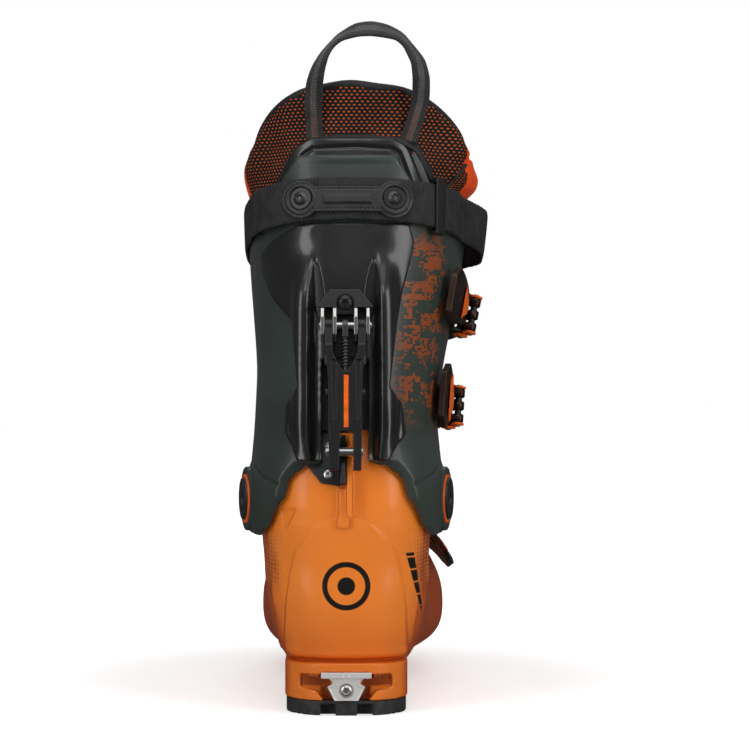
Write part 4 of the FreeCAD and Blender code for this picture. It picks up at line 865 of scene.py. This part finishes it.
# ---------------------------------------------------------------- soft goods
RAY_REACH = 0.3         # rays start or end this far off, m


def outer_hit(tree, origin, direction):
    """The outermost point of a solid along a ray, found from outside."""
    return tree.ray_cast(origin + direction * RAY_REACH, -direction, RAY_REACH)[0]


SWELL_STEPS = 20


def swell(piece, pressure, cap_mm):
    """Blows a padded piece up with cloth under pressure; cap_mm(x, y, z) limits how far each point moves."""
    start = points_of(piece)
    cap = cap_mm(*(start / MM).T) * MM
    cloth = piece.modifiers.new("cloth", "CLOTH")
    cloth.settings.quality = 4
    cloth.settings.use_pressure = True
    cloth.settings.uniform_pressure_force = pressure
    cloth.settings.tension_stiffness = cloth.settings.compression_stiffness = 20
    cloth.settings.bending_stiffness = 2.0
    cloth.settings.effector_weights.gravity = 0.0
    cloth.collision_settings.use_collision = False
    cloth.point_cache.frame_start = 1
    cloth.point_cache.frame_end = SWELL_STEPS
    scene = bpy.context.scene
    for step in range(1, SWELL_STEPS + 1):
        scene.frame_set(step)
    graph = bpy.context.evaluated_depsgraph_get()
    blown = piece.evaluated_get(graph).to_mesh()
    end = np.empty(len(blown.vertices) * 3, np.float32)
    blown.vertices.foreach_get("co", end)
    end = end.reshape(-1, 3).astype(float)
    piece.evaluated_get(graph).to_mesh_clear()
    piece.modifiers.clear()
    scene.frame_set(1)
    move = end - start
    length = np.linalg.norm(move, axis=1)
    scale = np.minimum(1.0, cap / np.maximum(length, 1e-9))
    set_points(piece, start + move * scale[:, None])


def leg_angle(x, y):
    """Degrees round the leg: 0 in front, 90 lateral, 180 behind."""
    return np.degrees(np.arctan2(x, y - LEG_AXIS_Y)) % 360


def collar_cap(x, y, z):
    """How far the collar may swell: a lot above the cuff's slanted top, a little inside it."""
    cuff_top = 300 - 0.224 * (y + 140)
    return 0.6 + 2.6 * ease(z - cuff_top, 4, 26)


def quilt(z, pitch, half_width):
    """Level sewn channels, one per pitch of height."""
    from_seam = np.abs(((z / pitch) % 1.0) - 0.5) * pitch
    return -0.8 * (1 - ease(from_seam, *half_width))


def collar_relief(x, y, z, normal):
    """Sewn channels outside and quilting within, and the padded roll over the lateral side of the cuff."""
    outside = (x * normal[:, 0] + (y - LEG_AXIS_Y) * normal[:, 1]) > 0
    slant = np.abs(z - 299.5 - (x - 57.7) * 1.28)
    seam = 1.3 * (1 - ease(slant, 0.6, 3.2)) * (x > 53) * ease(z, 296, 300)
    from_channel = np.abs(np.abs(x - 12.6) - 31.0)
    channels = 0.5 * (1 - ease(from_channel, 0.5, 4.0)) * ease(z, 322, 332) * (y < -90)
    roll = 4.2 * band(z, 301, 313, 5) * ease(x, 58, 70)
    return np.where(outside, roll - seam - channels, quilt(z, 26.0, (0.4, 3.0)))


def subdivided(piece, levels):
    fine = piece.modifiers.new("fine", "SUBSURF")
    fine.levels = fine.render_levels = levels
    bake(piece)


def make_collar():
    collar = moulded("cuff_liner", "liner_collar", MESH_FABRIC, 4.0, 2)
    swell(collar, 4.0, collar_cap)
    subdivided(collar, 2)
    displace(collar, collar_relief)
    dress(collar, MESH_FABRIC)
    for material in (LINING, ORANGE_FABRIC):
        collar.data.materials.append(material)
    paint_collar(collar)
    settle(collar, "cuff", "liner_fabric", "cuff_liner")
    return collar


def paint_collar(collar):
    """Mesh outside and behind, orange at the front of the sides, lining within and below the cuff's top."""
    points = points_of(collar) / MM
    centres = np.array([points[list(f.vertices)].mean(axis=0) for f in collar.data.polygons])
    normals = np.array([f.normal for f in collar.data.polygons])
    outward = (centres[:, 0] * normals[:, 0] + (centres[:, 1] - LEG_AXIS_Y) * normals[:, 1]) > 0
    angle = leg_angle(centres[:, 0], centres[:, 1])
    front = (angle < 109) | (angle > 258)
    showing = centres[:, 2] > 285
    index = np.where(~outward | ~showing, 1, np.where(front, 2, 0))
    collar.data.polygons.foreach_set("material_index", index.astype(np.int32))


def make_linings():
    foot = moulded("foot_liner", "foot_liner_boot", LINING, 4.0, 2)
    swell(foot, 3.0, lambda x, y, z: np.full(x.shape, 0.35))
    subdivided(foot, 1)
    dress(foot, LINING)
    settle(foot, "shell", "liner_fabric", "foot_liner")
    tongue = moulded("liner_tongue", "tongue_pad", LINING, 2.0, 2)
    swell(tongue, 3.0, lambda x, y, z: 0.4 + 1.8 * ease(z, 285, 310))
    subdivided(tongue, 1)
    displace(tongue, lambda x, y, z, normal: quilt(z, 18.0, (0.3, 2.5)))
    dress(tongue, LINING)
    settle(tongue, "cuff", "liner_fabric", "liner_tongue")
    make_forms([
        ("insole", LINING, "foam", 1.5, 2),
        ("boot_board", SATIN_BLACK, "foam", 2.0, 1),
        ("throat_gusset", SATIN_BLACK, "black_plastic", 0.5, 0)])


def off_angle(angles, target):
    """Degrees between angles round the leg and a target, the short way round."""
    return np.abs((angles - target + 180) % 360 - 180)


def rim_path(points, angles):
    """For each angle round the leg, the middle of the collar's rim."""
    x, y, z = points.T
    angle = leg_angle(x, y)
    path = []
    for target in angles:
        near = off_angle(angle, target) < 4.0
        if not near.any():
            continue
        top = z[near].max()
        rim = near & (z > top - 3.5)
        path.append((x[rim].mean(), y[rim].mean(), top))
    return path


def smoothed(rows, rounds):
    """Rows of numbers averaged with their neighbours; the two ends stay."""
    for _ in range(rounds):
        rows[1:-1] = (rows[:-2] + rows[1:-1] * 2 + rows[2:]) / 4
    return rows


def make_binding(collar):
    """Rounded edge binding over the collar's rim, open at the tongue."""
    path = smoothed(np.array(rim_path(points_of(collar) / MM, np.arange(34, 327, 4))), 4)
    path[:, 2] -= 1.6
    binding = tube("collar_binding", path * MM, 3.1, PIPING, sides=14, flatten=0.95)
    settle(binding, "cuff", "webbing")


STRAP_THICK = 1.9
RIB_DEPTH = 0.14
SELVEDGE_DROP = 0.4


def band_piece(name, node, columns, first_angle, last_angle, rows=12):
    """Webbing over a CAD band: outer face found by rays, ribs pressed in, selvedges rounded off."""
    tree = tree_of(NODES[node])
    mesh = np.array([v.co for v in NODES[node].data.vertices]) / MM
    mesh_angle = leg_angle(mesh[:, 0], mesh[:, 1])
    strips = []
    for column in range(columns + 1):
        target = first_angle + (last_angle - first_angle) * column / columns
        near = off_angle(mesh_angle, target) < 2.5
        if not near.any():
            continue
        low, high = mesh[near, 2].min() + 1.0, mesh[near, 2].max() - 1.0
        turn = math.radians(target)
        direction = Vector((math.sin(turn), math.cos(turn), 0.0))
        strip = []
        for row in range(rows + 1):
            origin = Vector((0.0, LEG_AXIS_Y, low + (high - low) * row / rows)) * MM
            hit = outer_hit(tree, origin, direction)
            if hit is None:
                break
            strip.append((hit / MM, direction))
        if len(strip) == rows + 1:
            strips.append(strip)
    vertices = []
    for column, strip in enumerate(strips):
        for row, (point, away) in enumerate(strip):
            edge = 1 - float(ease(min(row, rows - row), 0.0, 1.2))
            rib = RIB_DEPTH if column % 2 else 0.0
            vertices.append((point - away * (SELVEDGE_DROP * edge + rib)) * MM)
    for strip in strips:
        vertices += [(point - away * STRAP_THICK) * MM for point, away in strip]
    piece = new_object(name, vertices, slab_faces(len(strips), rows + 1), WEBBING)
    settle(piece, "cuff", "webbing", node)


def slab_faces(columns, width):
    """Faces of a slab whose outer points come first, column by column, then its inner points."""
    back = columns * width
    faces = []
    for column in range(columns - 1):
        for row in range(width - 1):
            a, b = column * width + row, (column + 1) * width + row
            faces.append([a, a + 1, b + 1, b])
            faces.append([back + a, back + b, back + b + 1, back + a + 1])
        a, b = column * width, (column + 1) * width
        faces.append([a, b, back + b, back + a])
        faces.append([a + width - 1, back + a + width - 1, back + b + width - 1, b + width - 1])
    for row in range(width - 1):
        end = (columns - 1) * width + row
        faces.append([row, back + row, back + row + 1, row + 1])
        faces.append([end, end + 1, back + end + 1, back + end])
    return faces


ANCHOR_EYES = [(-26.1, 291.0), (27.4, 291.0)]       # screw places of the strap anchor, (x, z)
ANCHOR_EYE_R = 10.8
ANCHOR_BAR_HALF = 7.2


def anchor_relief(x, y, z, normal):
    """Rings round the two screws and a line of stitches pressed in along the edge."""
    outward = normal[:, 1] < -0.4
    (left, level), (right, _) = ANCHOR_EYES
    reach = np.minimum(np.hypot(x - left, z - level), np.hypot(x - right, z - level))
    from_eye = ANCHOR_EYE_R - reach
    between = (x > left) & (x < right)
    from_bar = np.where(between, ANCHOR_BAR_HALF - np.abs(z - level), -20.0)
    inside = np.maximum(from_eye, from_bar)
    round_eye = np.degrees(np.arctan2(z - level, x - left)) / 14.0
    stitch_phase = np.where(from_eye > from_bar, round_eye, x / 2.4)
    stitch = (1 - ease(np.abs(inside - 1.5), 0.25, 0.6)) * ((stitch_phase % 1.0) < 0.62)
    ring = 0.45 * (1 - ease(np.abs(reach - 7.9), 0.4, 0.9))
    return (ring - 0.45 * stitch * (inside > 0.4)) * outward


def make_strap():
    band_piece("power_strap_band", "power_strap", 440, 29, 385)
    band_piece("strap_tail_band", "strap_tail", 90, 9, 75)
    anchor = moulded_node("strap_anchor", SATIN_BLACK, "black_plastic", 0.4, 2)
    displace(anchor, anchor_relief)
    make_forms([
        ("anchor_washers", BLACK_METAL, "black_metal", 0.3, 1),
        ("anchor_screws", DARK_STEEL, "steel", 0.2, 1),
        ("strap_slider", BLACK_METAL, "black_metal", 0.35, 2)])


# the pull loop's middle line seen from behind: x, height, and half the width that shows there
LOOP_LINE = [(-18.1, 327.3, 5.0), (-18.6, 336, 5.0), (-19.1, 345.9, 5.0), (-18.2, 357.6, 4.6),
             (-16.2, 365.5, 3.6), (-12.5, 373.8, 2.2), (-8.6, 379.0, 1.6), (-3.5, 383.6, 2.2),
             (6.3, 387.8, 3.9), (14.2, 388.5, 4.2), (22, 387.2, 3.9), (29.9, 384.4, 2.8),
             (34.8, 379.4, 2.3), (41.1, 369.4, 3.8), (42.8, 360.6, 4.8), (42.8, 349.8, 5.0),
             (39.7, 338.1, 5.0), (35.7, 326.3, 5.0)]
LOOP_HALF = 5.0
LOOP_THICK = 1.7
LOOP_PROUD = 1.1            # the sewn legs' middle stands this far off the collar
LOOP_STEPS = 110


def along_line(line, steps):
    """Evenly spaced, smoothed rows along a polyline; the first two columns are its places."""
    line = np.array(line, float)
    length = np.concatenate([[0], np.cumsum(np.hypot(*np.diff(line[:, :2], axis=0).T))])
    share = np.linspace(0, length[-1], steps + 1)
    return smoothed(np.stack([np.interp(share, length, column) for column in line.T], axis=1), 3)


def run_at(rows, step):
    """Unit direction (x, z) of a line at one of its rows."""
    run = (rows[min(step + 1, len(rows) - 1)] - rows[max(step - 1, 0)])[:2]
    return run / np.linalg.norm(run)


def tape(name, centres, sides, faces_out, half, thick, material, across_parts=8):
    """A flat tape: centres, across directions and outward directions per step, all in mm."""
    centres, sides, faces_out = np.array(centres), np.array(sides), np.array(faces_out)
    count, width = len(centres), across_parts + 1
    shares = np.linspace(-1, 1, width)
    vertices, across, along = [], [], []
    length = np.concatenate([[0], np.cumsum(np.linalg.norm(np.diff(centres, axis=0), axis=1))])
    for level in (0.5, -0.5):
        for step in range(count):
            for share in shares:
                crown = 0.35 * (1 - share * share) * level
                place = centres[step] + sides[step] * half * share + faces_out[step] * (thick * level + crown)
                vertices.append(place * MM)
                across.append(share)
                along.append(length[step])
    piece = new_object(name, vertices, slab_faces(count, width), material)
    for label, values in (("across", across), ("along", along)):
        layer = piece.data.attributes.new(label, "FLOAT", "POINT")
        layer.data.foreach_set("value", values)
    return piece


def make_loop(collar):
    """The webbing pull loop: flat legs sewn to the collar, narrow turned shoulders and a wide crown."""
    rows = along_line(LOOP_LINE, LOOP_STEPS)
    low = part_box("pull_loop")[0] / MM
    flat = np.array([0.0, -1.0, 0.0])
    tree = tree_of(collar)
    foot_left, foot_right = (rear_face(tree, x, 327.0) - LOOP_PROUD for x in (rows[0, 0], rows[-1, 0]))
    crown_y = low.y + 3.4
    centres, sides, outward = [], [], []
    for step, (x, z, half) in enumerate(rows):
        run_x, run_z = run_at(rows, step)
        side = np.cross([run_x, 0.0, run_z], flat)
        twist = math.acos(min(1.0, half / LOOP_HALF))
        rise = float(ease(np.array([z]), 328, 372)[0])
        foot = foot_left if step < LOOP_STEPS / 2 else foot_right
        centres.append((x, foot + (crown_y - foot) * rise, z))
        sides.append(side * math.cos(twist) + flat * math.sin(twist))
        outward.append(flat * math.cos(twist) - side * math.sin(twist))
    loop = tape("pull_loop_webbing", centres, sides, outward, LOOP_HALF, LOOP_THICK, LOOP_WEBBING)
    settle(loop, "cuff", "webbing", "pull_loop")


def rear_face(tree, x, z):
    """y of a piece's rearmost face at x and z; None where there is none."""
    hit = tree.ray_cast(Vector((x, -220.0, z)) * MM, Vector((0.0, 1.0, 0.0)), RAY_REACH)[0]
    return hit.y / MM if hit else None


# sewn parts on the collar's rear, as (x, z) lines
FACING_LINE = [(-36.9, 299.6), (-32, 310.9), (-27, 319.8), (-23.1, 324.7), (-17.2, 326.7), (-7.4, 327.4),
               (4.4, 327.7), (17.2, 327.2), (28, 326.2), (34.9, 325.2), (40.7, 321.7), (46.6, 310.9),
               (52.6, 299.1)]
VELCRO_LINE = [(37.3, 318.4), (41.7, 311.2), (46.4, 299.2)]
SEAM_LINE = [(71, 316.5), (57.7, 299.5), (55, 296)]


def draped_tape(name, tree, line, half, proud, material, slot):
    """A tape laid on the collar's rear along a line seen from behind."""
    rows = along_line(line, 12 * len(line))
    centres, sides, outward = [], [], []
    for step, (x, z) in enumerate(rows):
        run = run_at(rows, step)
        over = np.array([run[1], -run[0]])
        ends = [rear_face(tree, *(np.array([x, z]) + over * half * share)) for share in (-1, 1)]
        middle = rear_face(tree, x, z)
        if middle is None or None in ends:
            continue
        side = np.array([over[0] * half, (ends[1] - ends[0]) / 2, over[1] * half])
        side /= np.linalg.norm(side)
        face_out = np.cross([run[0], 0.0, run[1]], side)
        face_out *= -np.sign(face_out[1])
        centres.append(np.array([x, min(middle, sum(ends) / 2), z]) + face_out * proud)
        sides.append(side)
        outward.append(face_out)
    piece = tape(name, centres, sides, outward, half, 1.5, material, 6)
    settle(piece, "cuff", slot)


def make_collar_trim(collar):
    tree = tree_of(collar)
    draped_tape("collar_facing", tree, FACING_LINE, 2.2, 0.35, PIPING, "webbing")
    draped_tape("velcro_strip", tree, VELCRO_LINE, 2.35, 0.75, GREY_VELCRO, "webbing")
    draped_tape("slant_piping", tree, SEAM_LINE, 0.9, 0.30, PIPING, "webbing")


# ---------------------------------------------------------------- stage
# area lights: name, place, size and power; metres and watts
LIGHTS = [("left_bank", (-0.95, -1.05, 0.42), (0.38, 1.3), 6.0),
          ("right_bank", (1.0, -0.95, 0.45), (0.38, 1.3), 6.0),
          ("top_bank", (0.0, -0.35, 1.25), (1.2, 0.9), 4.5),
          ("rear_fill", (0.05, -1.5, 1.45), (0.9, 0.4), 4.2),
          ("far_side", (0.2, 1.2, 1.35), (1.4, 0.7), 3.0)]
LIGHT_TARGET = (0.0, -0.08, 0.19)
ROOM_LIGHT = 0.12           # strength of the even light from all round
FLOOR_HALF = 6.0
# camera: a long lens at heel height, in metres; the frame is shifted sideways by a share of its width
CAMERA_PLACE = (0.0, -1.3985, 0.1913)
LENS_MM, SENSOR_MM = 106.944, 36.0
FRAME_SHIFT = 0.0382667


def area_light(name, place, size, power):
    data = bpy.data.lights.new(name, "AREA")
    data.shape = "RECTANGLE"
    data.size, data.size_y = size
    data.energy = power
    light = bpy.data.objects.new(name, data)
    light.location = place
    direction = Vector(LIGHT_TARGET) - Vector(place)
    light.rotation_euler = direction.to_track_quat("-Z", "Y").to_euler()
    bpy.context.scene.collection.objects.link(light)


def make_stage():
    corners = [(x * FLOOR_HALF, y * FLOOR_HALF, 0) for x, y in ((-1, -1), (1, -1), (1, 1), (-1, 1))]
    new_object("floor", corners, [[0, 1, 2, 3]], floor_finish())
    world = bpy.data.worlds.new("studio")
    bpy.context.scene.world = world
    world.use_nodes = True
    nodes, links = world.node_tree.nodes, world.node_tree.links
    background = nodes["Background"]
    background.inputs["Color"].default_value = (0.9, 0.9, 0.9, 1.0)
    background.inputs["Strength"].default_value = ROOM_LIGHT
    seen = nodes.new("ShaderNodeBackground")
    seen.inputs["Color"].default_value = (1, 1, 1, 1)
    seen.inputs["Strength"].default_value = 1.0
    rays = nodes.new("ShaderNodeLightPath")
    mix = nodes.new("ShaderNodeMixShader")
    links.new(rays.outputs["Is Camera Ray"], mix.inputs[0])
    links.new(background.outputs[0], mix.inputs[1])
    links.new(seen.outputs[0], mix.inputs[2])
    links.new(mix.outputs[0], nodes["World Output"].inputs[0])
    for light in LIGHTS:
        area_light(*light)


def floor_finish():
    """Pale floor that keeps the contact shadow and fades to the white surround."""
    m = Finish("floor_paint", (0.93, 0.93, 0.93), 0.75)
    m.bump(m.noise(0.2, 2.0), 0.02)
    rays = m.tree.nodes.new("ShaderNodeLightPath")
    m.tint(Value(m.tree, rays.outputs["Is Glossy Ray"]), (0.06, 0.06, 0.06))
    material = m.done()
    glow = ((m.x * m.x + m.y * m.y).op("SQRT")).ramp(120, 330) * 0.50 + 0.50
    seen = Value(m.tree, rays.outputs["Is Camera Ray"])
    m.tree.links.new((glow * seen).socket, m.bsdf.inputs["Emission Strength"])
    m.bsdf.inputs["Emission Color"].default_value = (1, 1, 1, 1)
    return material


def make_camera():
    data = bpy.data.cameras.new("camera")
    data.sensor_width = SENSOR_MM
    data.lens = LENS_MM
    data.shift_x = FRAME_SHIFT
    camera = bpy.data.objects.new("camera", data)
    camera.location = CAMERA_PLACE
    camera.rotation_euler = (math.radians(90.0), 0.0, 0.0)
    bpy.context.scene.collection.objects.link(camera)
    bpy.context.scene.camera = camera


make_shell()
make_cuff()
make_lever()
make_buckles()
make_strap()
COLLAR = make_collar()
make_binding(COLLAR)
make_collar_trim(COLLAR)
make_linings()
make_loop(COLLAR)
make_stage()
make_camera()
bpy.context.scene.view_settings.view_transform = "Standard"
